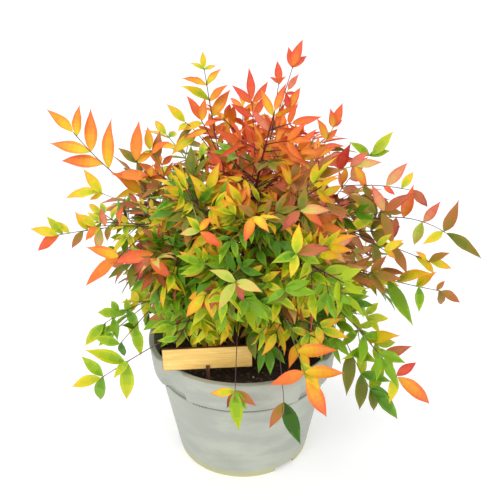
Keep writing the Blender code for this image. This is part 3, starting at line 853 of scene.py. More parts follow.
def cane_limb(azimuth, elevation):
    """A cane from the soil to its mass's side of the heart, steep at first."""
    foot = direction(azimuth, 0) * (CANE_SPREAD * math.cos(math.radians(elevation)))
    foot += UP * (SOIL_TOP + CLEARANCE)
    tip = HEART + direction(azimuth, elevation) * HEART_RADIUS
    control = foot + UP * ((tip.z - foot.z) * CANE_BEND)
    radii = [CANE_FOOT_RADIUS + (CANE_TIP_RADIUS - CANE_FOOT_RADIUS) * place for place in CANE_PLACES]
    for ring, flare in enumerate(CANE_FLARE):
        radii[ring] *= flare
    return Limb(foot, control, tip, CANE_PLACES, radii, UP, (tip - control).normalized())


def bark(name, colours):
    """Furrowed bark: long dark grooves in a lighter brown, with a green film in places."""
    skin, shader, node, link = new_material(name)
    dark, light, green = (from_display(*colour) for colour in colours)
    wear = add_wear(node, *BARK_WEAR)
    grooved = blend_colours(node, link, wear.outputs["Blotch"], dark, light)
    film = add_wear(node, *FILM_WEAR)
    tinged = fit_range(node, link, film.outputs["Blotch"], 0.0, FILM_SHARE)
    link(blend_colours(node, link, tinged, grooved, green), shader.inputs["Base Color"])
    link(fit_range(node, link, wear.outputs["Speck"], *BARK_ROUGHNESS), shader.inputs["Roughness"])
    add_relief(node, link, shader, wear.outputs["Speck"], BARK_GRAIN)
    return skin


def barked(limb, around, joint_gap, furrow_depth, seed):
    """The limb's tube with furrows along it, and a sheath that swells and ends short at each joint."""
    length = sum((b - a).length for a, b in zip(limb.points, limb.points[1:]))
    count = max(LEAST_RINGS, round(length / RING_GAP))
    points, ring_radii = [], []
    for place in even(0.0, 1.0, count):
        _, radius, _ = limb.at(min(place, NEAR_END))
        along = place * length / joint_gap
        sheath = 1.0 + SHEATH_SWELL * max(0.0, (along % 1.0) - SHEATH_START) / (1.0 - SHEATH_START)
        ring = []
        for s in range(around):
            turn = 2 * math.pi * s / around
            strip = Vector((seed * BARK_SEED_STEP, along * BARK_WANDER_STRETCH, math.cos(turn)))
            furrow = math.sin(FURROWS * turn + FURROW_WANDER * noise.noise(strip))
            x, y = math.cos(turn) * BARK_LUMPS_ROUND + seed, math.sin(turn) * BARK_LUMPS_ROUND
            lump = noise.noise(Vector((x, y, along * BARK_LUMP_STRETCH)))
            relief = FURROW_SHARE * furrow + BARK_LUMP_SHARE * lump
            ring.append(radius * (sheath + furrow_depth * relief))
        points.append(bend(limb.start, limb.control, limb.end, place))
        ring_radii.append(ring)
    return tube(points, ring_radii, around, limb.first, limb.last)


def build_canes():
    skin = bark("cane_bark", CANE_BARK_COLOURS)
    canes = {}
    for number, (name, row) in enumerate(CANE_MASSES.items()):
        canes[name] = cane_limb(row[0], row[1])
        shape = barked(canes[name], CANE_AROUND, CANE_JOINT_GAP, FURROW_DEPTH, number)
        cane = new_piece(f"{name}_cane_bark", *shape, [skin])
        shade_round(cane, 50.0)
        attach(cane, "root")
        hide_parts(f"{name}_cane")
    return canes


limbs = build_canes()


# The boughs
# Eighteen side branches leave the canes for the masses round the sides, each square to its cane.
# They are thinner and younger than the canes, with a redder and smoother bark.

BOUGH_SEGMENTS = 4
BOUGH_FOOT_RADIUS = 0.0021
BOUGH_TIP_RADIUS = 0.0016
BOUGH_LEAD = 0.45
BOUGH_SHIFTS = (0.0, 0.04, -0.04, 0.08, -0.08, 0.12, -0.12, 0.16, -0.16, 0.20, -0.20)
BOUGH_AROUND = 12
BOUGH_JOINT_GAP = 0.018
BOUGH_FURROW_DEPTH = 0.06
BOUGH_BARK_COLOURS = ((84, 40, 34), (134, 78, 58), (112, 94, 52))
BOUGH_SEED = 40
LIMB_SPARE = 0.0006
SOLID_CANE_SIDES = 6
SOLID_BOUGH_SIDES = 4

# Each mass on a bough: as above, then the cane that carries the bough and how far up it the bough leaves
BOUGH_MASSES = {
    "left_mid": (181, 11, 0.290, "left_high", 0.60),
    "right_mid": (357, 6, 0.324, "right_high", 0.60),
    "front_left_mid": (222, 12, 0.232, "front_left_high", 0.66),
    "front_high": (277, 37, 0.214, "top_front", 0.62),
    "front_mid": (265, 10, 0.222, "front_left_high", 0.48),
    "front_right_mid": (304, 12, 0.235, "front_right_high", 0.66),
    "back_right_mid": (36, 8, 0.285, "back_right_high", 0.60),
    "back_mid": (88, 14, 0.270, "top_back", 0.55),
    "back_left_mid": (142, 8, 0.280, "back_left_high", 0.60),
    "left_low": (205, -24, 0.278, "left_high", 0.30),
    "right_low": (333, -27, 0.303, "right_high", 0.30),
    "front_right_low": (298, -26, 0.250, "front_right_high", 0.34),
    "front_low": (268, -36, 0.226, "front_left_high", 0.25),
    "front_left_low": (237, -23, 0.212, "front_left_high", 0.36),
    "left_back_low": (165, -20, 0.258, "left_high", 0.42),
    "back_left_low": (124, -24, 0.262, "back_left_high", 0.34),
    "back_right_low": (68, -24, 0.262, "back_right_high", 0.34),
    "right_back_low": (20, -20, 0.275, "right_high", 0.42),
}


def search_tree(*shapes):
    """One search tree over the faces of several shapes."""
    corners, faces = [], []
    for more, its_faces in shapes:
        faces += [[i + len(corners) for i in face] for face in its_faces]
        corners += more
    return BVHTree.FromPolygons(corners, faces)


def bough_limb(cane, place, azimuth, elevation):
    """A bough that leaves its cane square and bends towards its mass."""
    tip = HEART + direction(azimuth, elevation) * HEART_RADIUS
    axis, radius, heading = cane.at(place)
    outward = square_to(heading, tip - axis)
    start = axis + outward * (radius + CLEARANCE)
    control = start + outward * ((tip - start).length * BOUGH_LEAD)
    places = even(0.0, 1.0, BOUGH_SEGMENTS + 1)
    radii = even(BOUGH_FOOT_RADIUS, BOUGH_TIP_RADIUS, BOUGH_SEGMENTS + 1)
    return Limb(start, control, tip, places, radii, outward, (tip - control).normalized())


def solid_sides(name):
    return SOLID_CANE_SIDES if name in CANE_MASSES else SOLID_BOUGH_SIDES


def clear_bough(name):
    """The bough of a mass, moved along its cane until it is clear of every other limb."""
    azimuth, elevation, _, cane_name, place = BOUGH_MASSES[name]
    near = [limb.shape(solid_sides(key), LIMB_SPARE) for key, limb in limbs.items() if key != cane_name]
    others, cane = search_tree(*near), search_tree(limbs[cane_name].shape(SOLID_CANE_SIDES))
    for shift in BOUGH_SHIFTS:
        bough = bough_limb(limbs[cane_name], place + shift, azimuth, elevation)
        bare, grown = (search_tree(bough.shape(SOLID_BOUGH_SIDES, spare)) for spare in (0.0, LIMB_SPARE))
        if not bare.overlap(cane) and not grown.overlap(others):
            return bough
    raise ValueError(f"no clear place for the bough of {name}")


def build_boughs():
    skin = bark("bough_bark", BOUGH_BARK_COLOURS)
    for number, name in enumerate(BOUGH_MASSES):
        limbs[name] = clear_bough(name)
        seed = BOUGH_SEED + number
        shape = barked(limbs[name], BOUGH_AROUND, BOUGH_JOINT_GAP, BOUGH_FURROW_DEPTH, seed)
        bough = new_piece(f"{name}_bough_bark", *shape, [skin])
        shade_round(bough, 50.0)
        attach(bough, "root")
        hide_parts(f"{name}_bough")


build_boughs()


# The leaflets' finishes
# A leaflet is thin and leathery, and turns from green through gold to red in autumn. The colour spreads
# from the margin and the tip, so the midrib and the foot stay green the longest.

# The colours that a leaflet passes through as it turns. Bright sprays go through gold, dull ones through
# olive, and young ones stay pale.
LEAF_COLOURS = {
    "bright": (
        (38, 72, 8), (64, 112, 10), (98, 146, 14), (140, 174, 22), (182, 192, 26), (220, 196, 30),
        (232, 172, 36), (232, 146, 44), (230, 120, 50), (228, 98, 56), (220, 80, 58), (204, 54, 44),
        (160, 28, 34),
    ),
    "dull": ((90, 110, 22), (132, 120, 30), (166, 112, 44), (188, 94, 64), (150, 62, 52), (98, 34, 34)),
    "pale": ((150, 176, 54), (184, 190, 78), (210, 178, 92), (218, 148, 98), (214, 114, 88), (216, 88, 70)),
}

# Each tint's ways of turning: the scale, and where on it a leaflet's midrib and its tip stand
TINTS = {
    "scarlet": (
        ("bright", 7, 11), ("bright", 8, 11), ("bright", 6, 10), ("bright", 4, 10), ("bright", 9, 12)),
    "coral": (("bright", 7, 10), ("bright", 7, 11), ("bright", 5, 10), ("pale", 3, 5), ("bright", 8, 10)),
    "orange": (("bright", 4, 9), ("bright", 5, 9), ("bright", 6, 10), ("bright", 5, 10), ("bright", 7, 9)),
    "amber": (("bright", 3, 7), ("bright", 2, 7), ("bright", 4, 8), ("bright", 2, 8), ("dull", 1, 3)),
    "gold": (("bright", 3, 6), ("bright", 4, 6), ("bright", 4, 7), ("bright", 2, 6)),
    "lime": (("bright", 2, 4), ("bright", 3, 4), ("bright", 2, 5), ("bright", 3, 5), ("bright", 2, 3)),
    "green": (("bright", 1, 2), ("bright", 1, 3), ("bright", 2, 3), ("bright", 1, 4), ("dull", 0, 1)),
    "bronze": (("dull", 0, 3), ("dull", 1, 4), ("dull", 0, 2), ("dull", 1, 3), ("bright", 2, 7)),
    "rose": (("pale", 0, 4), ("dull", 2, 4), ("pale", 2, 5), ("pale", 1, 4), ("dull", 1, 3)),
    "blush": (("pale", 0, 3), ("pale", 1, 3), ("pale", 0, 2), ("pale", 0, 4)),
    "shade": (("bright", 0, 1), ("bright", 0, 2), ("bright", 1, 2), ("dull", 0, 1)),
}
VEIN_PAIRS = 9.0
VEIN_SLANT = 1.6
VEIN_FINENESS = 0.35
VEIN_RELIEF = 0.00012
MIDRIB_WIDTH = 0.06
MOTTLE_SCALE = 240.0
MOTTLE_SHARE = 0.4
MOTTLE_RANGE = (0.3, 0.7)
LEAF_GLOSS = 0.30
LEAF_ROUGHNESS = (0.38, 0.58)


def vein_group():
    """A shader group: side veins that run forward from the midrib, read from the leaflet's own map."""
    group = bpy.data.node_groups.new("leaf_veins", "ShaderNodeTree")
    face = group.interface
    face.new_socket("Pairs", in_out="INPUT", socket_type="NodeSocketFloat")
    face.new_socket("Slant", in_out="INPUT", socket_type="NodeSocketFloat")
    face.new_socket("Height", in_out="OUTPUT", socket_type="NodeSocketFloat")
    face.new_socket("Dullness", in_out="OUTPUT", socket_type="NodeSocketFloat")
    node, link = group.nodes.new, group.links.new
    given, result = node("NodeGroupInput"), node("NodeGroupOutput")

    def worked_out(operation, first, second=None):
        made = node("ShaderNodeMath")
        made.operation = operation
        for socket, value in zip(made.inputs, (first, second)):
            if isinstance(value, float):
                socket.default_value = value
            elif value is not None:
                link(value, socket)
        return made.outputs[0]

    place = node("ShaderNodeTexCoord")
    split = node("ShaderNodeSeparateXYZ")
    link(place.outputs["UV"], split.inputs["Vector"])
    off_midrib = worked_out("ABSOLUTE", worked_out("SUBTRACT", split.outputs["X"], 0.5))
    forward = worked_out("MULTIPLY", split.outputs["Y"], given.outputs["Pairs"])
    leaning = worked_out("SUBTRACT", forward, worked_out("MULTIPLY", off_midrib, given.outputs["Slant"]))
    wave = worked_out("ABSOLUTE", worked_out("SINE", worked_out("MULTIPLY", leaning, math.pi)))
    vein = worked_out("SUBTRACT", 1.0, worked_out("POWER", wave, VEIN_FINENESS))
    midrib = fit_range(node, link, off_midrib, 1.0, 0.0, 0.0, MIDRIB_WIDTH)
    mottle = node("ShaderNodeTexNoise")
    mottle.inputs["Scale"].default_value = MOTTLE_SCALE
    link(place.outputs["Object"], mottle.inputs["Vector"])
    pebbled = worked_out("MULTIPLY", mottle.outputs["Fac"], MOTTLE_SHARE)
    link(worked_out("ADD", worked_out("ADD", vein, pebbled), midrib), result.inputs["Height"])
    link(mottle.outputs["Fac"], result.inputs["Dullness"])
    return group


VEINS = vein_group()


def leaf_finish(name, colour):
    finish, shader, node, link = new_material(name)
    shader.inputs["Base Color"].default_value = from_display(*colour)
    shader.inputs["Specular IOR Level"].default_value = LEAF_GLOSS
    veins = node("ShaderNodeGroup")
    veins.node_tree = VEINS
    veins.inputs["Pairs"].default_value = VEIN_PAIRS
    veins.inputs["Slant"].default_value = VEIN_SLANT
    dullness = fit_range(node, link, veins.outputs["Dullness"], *LEAF_ROUGHNESS, *MOTTLE_RANGE)
    link(dullness, shader.inputs["Roughness"])
    add_relief(node, link, shader, veins.outputs["Height"], VEIN_RELIEF)
    return finish


# Between two colours of a scale stands one more, halfway
leaf_finishes = {}
for scale, colours in LEAF_COLOURS.items():
    for step in range(2 * len(colours) - 1):
        colour = [(a + b) / 2 for a, b in zip(colours[step // 2], colours[(step + 1) // 2])]
        leaf_finishes[scale, step] = leaf_finish(f"leaf_{scale}_{step}", colour)


# The leaflets' shape
# A leaflet is lance-shaped and a third as wide as long, keeled along its midrib, with a drawn-out tip that
# curls down. It sits straight on its stalk with no petiole of its own.

BLADE_STATIONS = (0.015, 0.08, 0.17, 0.28, 0.40, 0.52, 0.64, 0.75, 0.85, 0.93)
BLADE_ACROSS = (-1.0, -0.55, 0.0, 0.55, 1.0)
BLADE_WIDEST = 0.40
BLADE_TAPER = 1.5
KEEL_LIFT = (0.16, 0.42)
NOD = (0.02, 0.18)
NOD_DRAWS_IN = 0.5
TIP_CURL = (0.0, 0.08)
TIP_CURL_FROM = 0.7
TIP_CURL_STRETCH = 0.3
SICKLE = (-0.06, 0.06)
MARGIN_WAVE = 0.10
MARGIN_WAVES = (1.5, 3.0)
GROOVE = 0.00025
MIDRIB_DEPTH = 0.0011
MIDRIB_TAPER = 0.7
MARGIN_WEIGHT = 0.40
TIP_WEIGHT = 0.70
UNDERSIDE_WEIGHT = 0.3
TURNING_DRIFT = 0.16


def blade_faces():
    """Faces of one blade, each with how far it has turned. The underside turns along with the margin."""
    row = len(BLADE_ACROSS) + 1
    rings = len(BLADE_STATIONS)
    tip = rings * row
    faces, shares = [], []
    middles = [(a + b) / 2 for a, b in zip(BLADE_STATIONS, (*BLADE_STATIONS[1:], 1.0))]
    for i, middle in enumerate(middles):
        for j in range(4):
            a, b = i * row + j, i * row + j + 1
            faces.append((b, a, a + row, b + row) if i < rings - 1 else (b, a, tip))
            off = abs(BLADE_ACROSS[j] + BLADE_ACROSS[j + 1]) / 2
            shares.append(MARGIN_WEIGHT * (off - 0.5) + TIP_WEIGHT * (middle - 0.5) + 0.5)
        left, right, keel = i * row, i * row + 4, i * row + 5
        for a, b in ((left, keel), (keel, right)):
            faces.append((a, b, b + row, a + row) if i < rings - 1 else (a, b, tip))
            shares.append(MARGIN_WEIGHT * UNDERSIDE_WEIGHT + TIP_WEIGHT * (middle - 0.5) + 0.5)
    faces.append((0, 1, 2, 3, 4, 5))
    shares.append(0.0)
    return faces, np.array(shares)


BLADE_FACES, BLADE_SHARES = blade_faces()


def blade_corners(length, slimness, rng):
    """Corners of one blade as (along, left, up), and their map."""
    station = np.array(BLADE_STATIONS)[:, None]
    off = np.array(BLADE_ACROSS)[None, :]
    profile = (station / BLADE_WIDEST) * ((1 - station) / (1 - BLADE_WIDEST)) ** BLADE_TAPER
    half = length * slimness / 2 * profile
    nod, curl, sickle = rng.uniform(*NOD), rng.uniform(*TIP_CURL), rng.uniform(*SICKLE)
    lift, phase, waves = rng.uniform(*KEEL_LIFT), rng.uniform(0, FULL_TURN), rng.uniform(*MARGIN_WAVES)

    def spine(share):
        fall = nod * share**2 + curl * np.clip((share - TIP_CURL_FROM) / TIP_CURL_STRETCH, 0, 1) ** 2
        reach = length * share * (1 - NOD_DRAWS_IN * nod * share)
        return reach, length * sickle * share**2, -length * fall

    along, side, up = spine(station)
    margin = MARGIN_WAVE * np.sin(waves * FULL_TURN * station + phase + np.sign(off)) * off**2
    rise = half * (lift * np.abs(off) + margin)
    groove = GROOVE * (1 - station) * (off == 0)
    top = np.stack([along + 0 * off, side + off * half, up + rise - groove], -1)
    under = up - MIDRIB_DEPTH * (1 - MIDRIB_TAPER * station)
    keel = np.concatenate([along, side, under], 1)[:, None, :]
    tip = np.array([spine(1.0)])
    corners = np.concatenate([np.concatenate([top, keel], 1).reshape(-1, 3), tip])
    across = np.concatenate([(off + 1) / 2 + 0 * station, np.full_like(station, 0.5)], 1)
    maps = np.stack([across, np.repeat(station, across.shape[1], 1)], -1).reshape(-1, 2)
    return corners, np.concatenate([maps, [[0.5, 1.0]]])


class Leaves:
    """The joined leaflets of one mass."""

    def __init__(self):
        self.corners, self.faces, self.finishes, self.maps, self.count = [], [], [], [], 0

    def add(self, base, along, normal, length, slimness, turning, rng):
        corners, maps = blade_corners(length, slimness, rng)
        axes = np.array([along, normal.cross(along), normal])
        first = self.count * len(corners)
        self.corners.append(corners @ axes + np.array(base))
        self.faces += [[first + i for i in face] for face in BLADE_FACES]
        self.maps.append(maps)
        scale, start, end = turning
        drift = rng.uniform(-TURNING_DRIFT, TURNING_DRIFT)
        steps = start + np.clip(BLADE_SHARES + drift, 0.0, 1.0) * (end - start)
        first_finish = list(leaf_finishes).index((scale, 0))
        self.finishes.append(first_finish + np.rint(2 * steps).astype(int))
        self.count += 1

    def piece(self, name):
        """All the leaflets as one piece, with only the finishes that they use."""
        finishes = np.concatenate(self.finishes)
        used = sorted(set(finishes.tolist()))
        keys = list(leaf_finishes)
        slots = np.zeros(len(keys), dtype=np.int32)
        slots[used] = np.arange(len(used))
        materials = [leaf_finishes[keys[i]] for i in used]
        corners = np.concatenate(self.corners).tolist()
        piece = new_piece(name, corners, self.faces, materials, slots[finishes])
        maps = np.concatenate(self.maps)
        corner_of = np.zeros(len(piece.data.loops), dtype=np.int32)
        piece.data.loops.foreach_get("vertex_index", corner_of)
        layer = piece.data.uv_layers.new(name="blade_map")
        layer.data.foreach_set("uv", maps[corner_of].ravel())
        shade_round(piece, 60.0)
        return piece


# The sprays
# Each mass is one great compound leaf or several: a wiry stalk goes on from the bark to the mass's far tip,
# and side stalks leave it in pairs. Leaflets sit on all of them in pairs with one at each tip.

PHOTO_WIDTH = 500.0

# The room of a mass in the crown
REACH_SPARE = 1.02
LEAF_STRAY = 0.014
KEEP_OFF = 0.0010
KEEP_OFF_SIDES = 48
LABEL_MARGIN = 0.003
LABEL_FRONT = 0.006
LABEL_SOIL_STRIP = 0.022
HIGH_FROM = 30.0
MASS_SEED = 100
DEPTH_SEED = 500

# Its main stalk
STALK_SINK = 0.001
STALK_LEAD = 0.30
STALK_RADIUS = 0.0017
STALK_TIP_RADIUS = 0.0006
STALK_RINGS = 16
STALK_AROUND = 7
STALK_ROLL = 20.0
STALK_DRAW_BACK = 0.96
OUTWARD_LEAN = 0.35
LIGHT_LEAN = 1.0
LIGHT_TURN = 1.6
BARE_TIP_FROM = 0.50
TIP_PAIR_BACK = 0.006
JOINT_SWELL = 1.35
STALK_COLOURS = {"purple": (88, 36, 40), "red": (150, 48, 42), "green": (126, 132, 58)}
STALK_WEAR = (180.0, 900.0)
STALK_ROUGHNESS = (0.38, 0.6)
STALK_GRAIN = 0.00008
PURPLE_SHARE = 0.6
GREEN_SHARE = 0.45

# Its side stalks, and the short stalks on those
SIDE_GAP = 0.016
SIDE_FIRST = 0.4
SIDE_TWIST = 40.0
SIDE_ANGLE = (44.0, 68.0)
SIDE_SHARE = 0.46
SIDE_TAPER = 0.60
SIDE_LENGTHS = (0.7, 1.1)
SIDE_SIZES = (1.0, 0.8, 0.62, 0.45)
SIDE_RADIUS = 0.0008
SIDE_TIP_RADIUS = 0.00045
SIDE_RINGS = 7
SIDE_AROUND = 5
SIDE_SAG = 0.10
SIDE_PAIR_GAP = 0.5
SIDE_TIP_PAIR = 0.7
SIDE_PAIRS_REACH = 0.86
TIP_SIDE_LENGTH = 0.85
TIP_SIDE_LENGTHS = (0.6, 1.2)
SPRIG_LENGTH = 0.024
SPRIG_LENGTHS = (0.5, 1.0)
SPRIG_FROM = 0.045
SPRIG_SCALE = 0.80
SPRIG_SLIMNESS = 0.8
SPRIG_PAIR = 0.82
FILLING_TRIES = 220
FILLING_PLACES = (0.0, 0.80)

# Its leaflets
LEAFLETS_MOST = 230
LEAFLETS_LEAST = 2
LEAFLET_ANGLE = (36.0, 60.0)
LEAFLET_ROLL = 36.0
LEAFLET_LIFT = 8.0
LEAFLET_DROOP = 20.0
LEAFLET_SIZES = (1.0, 0.88, 0.76, 0.64)
LEAFLET_LENGTHS = (0.86, 1.1)
LEAFLET_WIDTHS = (0.88, 1.12)
LEAFLET_SLIM_TEST = 0.55
LEAFLET_SCATTER = 50.0
LOZENGE_START = 0.08
LOZENGE_RISE = 0.0003
TIP_LEAFLET = 1.08
MAIN_TIP_LEAFLET = 0.97
INNER_SCALE = 0.66
FULL_SIZE_RISE = 1.15

# The leaves with a place of their own
THIN_STALK_BEND = 0.55
SINGLE_ARCH = 0.16
SINGLE_ROLL = 20.0
SINGLE_TIP = 1.1
SINGLE_LENGTHS = (0.85, 1.05)
SINGLE_PAIR_GAP = 0.62
PLACED_SLIMNESS = (0.43, 2.5)
PLACED_LEAN = Vector((0.0, -1.0, 0.0))
PLACED_ROLL = 12.0
PLACED_DEPTHS = (-0.016, 0.012)
PLACED_SPARE = 1.05
PLACED_PURPLE_SHARE = 0.7
LAST_JOINT = 0.999
HANGING_ARCH = 0.30
HANGING_SLIMNESS = 0.32
HANGING_LEAN = Vector((0.0, -1.0, 0.6))

# The tints of a mass, inside and out
INNER_SLACK = 0.24
INNER_RISE = 2.0
SHADE_REACH = 0.6
MAIN_TINT_SHARE = 0.48
ODD_TINT_SHARE = 0.16
RED_TINTS = ("scarlet", "coral", "orange", "rose", "bronze")
INNER_TINTS = {
    "high": ("green", "gold", "amber", "amber", "orange", "bronze", "shade"),
    "mid": ("shade", "green", "gold", "bronze", "amber", "rose", "green"),
    "low": ("green", "green", "lime", "shade", "gold", "bronze"),
}

# How each mass is dressed: its tint in the solids, the two tints of its sprays here, the length of its
# outer leaflets and their width as a share of it, the gap between pairs, and how many pairs have stalks
DRESS = {
    "top_right_spire": ("scarlet", "scarlet", "scarlet", 0.027, 0.26, 0.017, 0.75),
    "top_left_spire": ("orange", "orange", "coral", 0.030, 0.30, 0.017, 0.40),
    "top_front": ("scarlet", "coral", "orange", 0.036, 0.27, 0.018, 0.55),
    "top_back": ("orange", "orange", "coral", 0.038, 0.28, 0.020, 0.55),
    "left_high": ("orange", "orange", "amber", 0.034, 0.28, 0.018, 0.45),
    "right_high": ("scarlet", "coral", "orange", 0.034, 0.25, 0.020, 0.60),
    "front_left_high": ("amber", "amber", "green", 0.034, 0.31, 0.018, 0.65),
    "front_right_high": ("amber", "amber", "rose", 0.036, 0.30, 0.018, 0.65),
    "back_right_high": ("orange", "coral", "lime", 0.040, 0.28, 0.020, 0.55),
    "back_left_high": ("amber", "amber", "bronze", 0.042, 0.30, 0.020, 0.55),
    "left_mid": ("yellow_green", "amber", "green", 0.034, 0.31, 0.018, 0.50),
    "right_mid": ("bronze", "bronze", "rose", 0.042, 0.31, 0.022, 0.50),
    "front_left_mid": ("yellow_green", "green", "bronze", 0.034, 0.30, 0.018, 0.65),
    "front_high": ("yellow_green", "amber", "green", 0.030, 0.32, 0.017, 0.65),
    "front_mid": ("green", "lime", "green", 0.034, 0.34, 0.018, 0.65),
    "front_right_mid": ("green", "lime", "amber", 0.036, 0.31, 0.018, 0.65),
    "back_right_mid": ("bronze", "bronze", "rose", 0.044, 0.31, 0.022, 0.55),
    "back_mid": ("yellow_green", "lime", "amber", 0.042, 0.32, 0.022, 0.55),
    "back_left_mid": ("bronze", "bronze", "amber", 0.044, 0.31, 0.022, 0.55),
    "left_low": ("lime", "lime", "gold", 0.034, 0.36, 0.022, 0.70),
    "right_low": ("green", "lime", "green", 0.040, 0.32, 0.024, 0.60),
    "front_right_low": ("amber", "amber", "green", 0.040, 0.32, 0.020, 0.55),
    "front_low": ("lime", "lime", "bronze", 0.036, 0.33, 0.022, 0.60),
    "front_left_low": ("green", "lime", "gold", 0.032, 0.34, 0.020, 0.60),
    "left_back_low": ("green", "green", "lime", 0.040, 0.34, 0.022, 0.60),
    "back_left_low": ("lime", "lime", "green", 0.040, 0.34, 0.022, 0.60),
    "back_right_low": ("green", "green", "lime", 0.042, 0.34, 0.022, 0.60),
    "right_back_low": ("yellow_green", "green", "bronze", 0.042, 0.33, 0.022, 0.60),
}

# Masses that the light shines through, and the most leaflets that each of them grows
OPEN_MASSES = {
    "top_left_spire": 100, "top_right_spire": 90, "top_front": 190, "left_high": 110, "right_high": 120,
    "back_left_high": 130, "left_mid": 150, "right_mid": 130, "left_low": 90, "right_low": 100,
    "left_back_low": 90, "right_back_low": 110, "front_low": 120,
}

# The share of its stalk that a mass keeps, where a placed spray takes its tip's place
STALK_KEPT = {
    "top_left_spire": 0.62, "top_right_spire": 0.62, "left_high": 0.54, "right_high": 0.66,
    "left_mid": 0.76, "right_mid": 0.62, "front_left_mid": 0.80, "left_low": 0.80, "right_low": 0.80,
    "left_back_low": 0.76, "front_low": 0.50, "front_right_low": 0.74,
}

# Leaves that stand out of their mass alone: the mass, how far along its stalk they start, the place of
# their tip, the length of their leaflets, how many pairs they have, and their tint
SINGLE_LEAVES = (
    ("front_left_low", 0.30, (-0.072, -0.076, 0.232), 0.032, 2, "gold"),
    ("front_left_low", 0.25, (-0.038, -0.084, 0.226), 0.030, 1, "gold"),
    ("front_left_low", 0.40, (-0.100, -0.080, 0.250), 0.034, 1, "lime"),
    ("right_low", 0.40, (0.172, -0.120, 0.212), 0.042, 2, "lime"),
    ("top_front", 0.42, (0.012, -0.034, 0.512), 0.036, 2, "scarlet"),
)
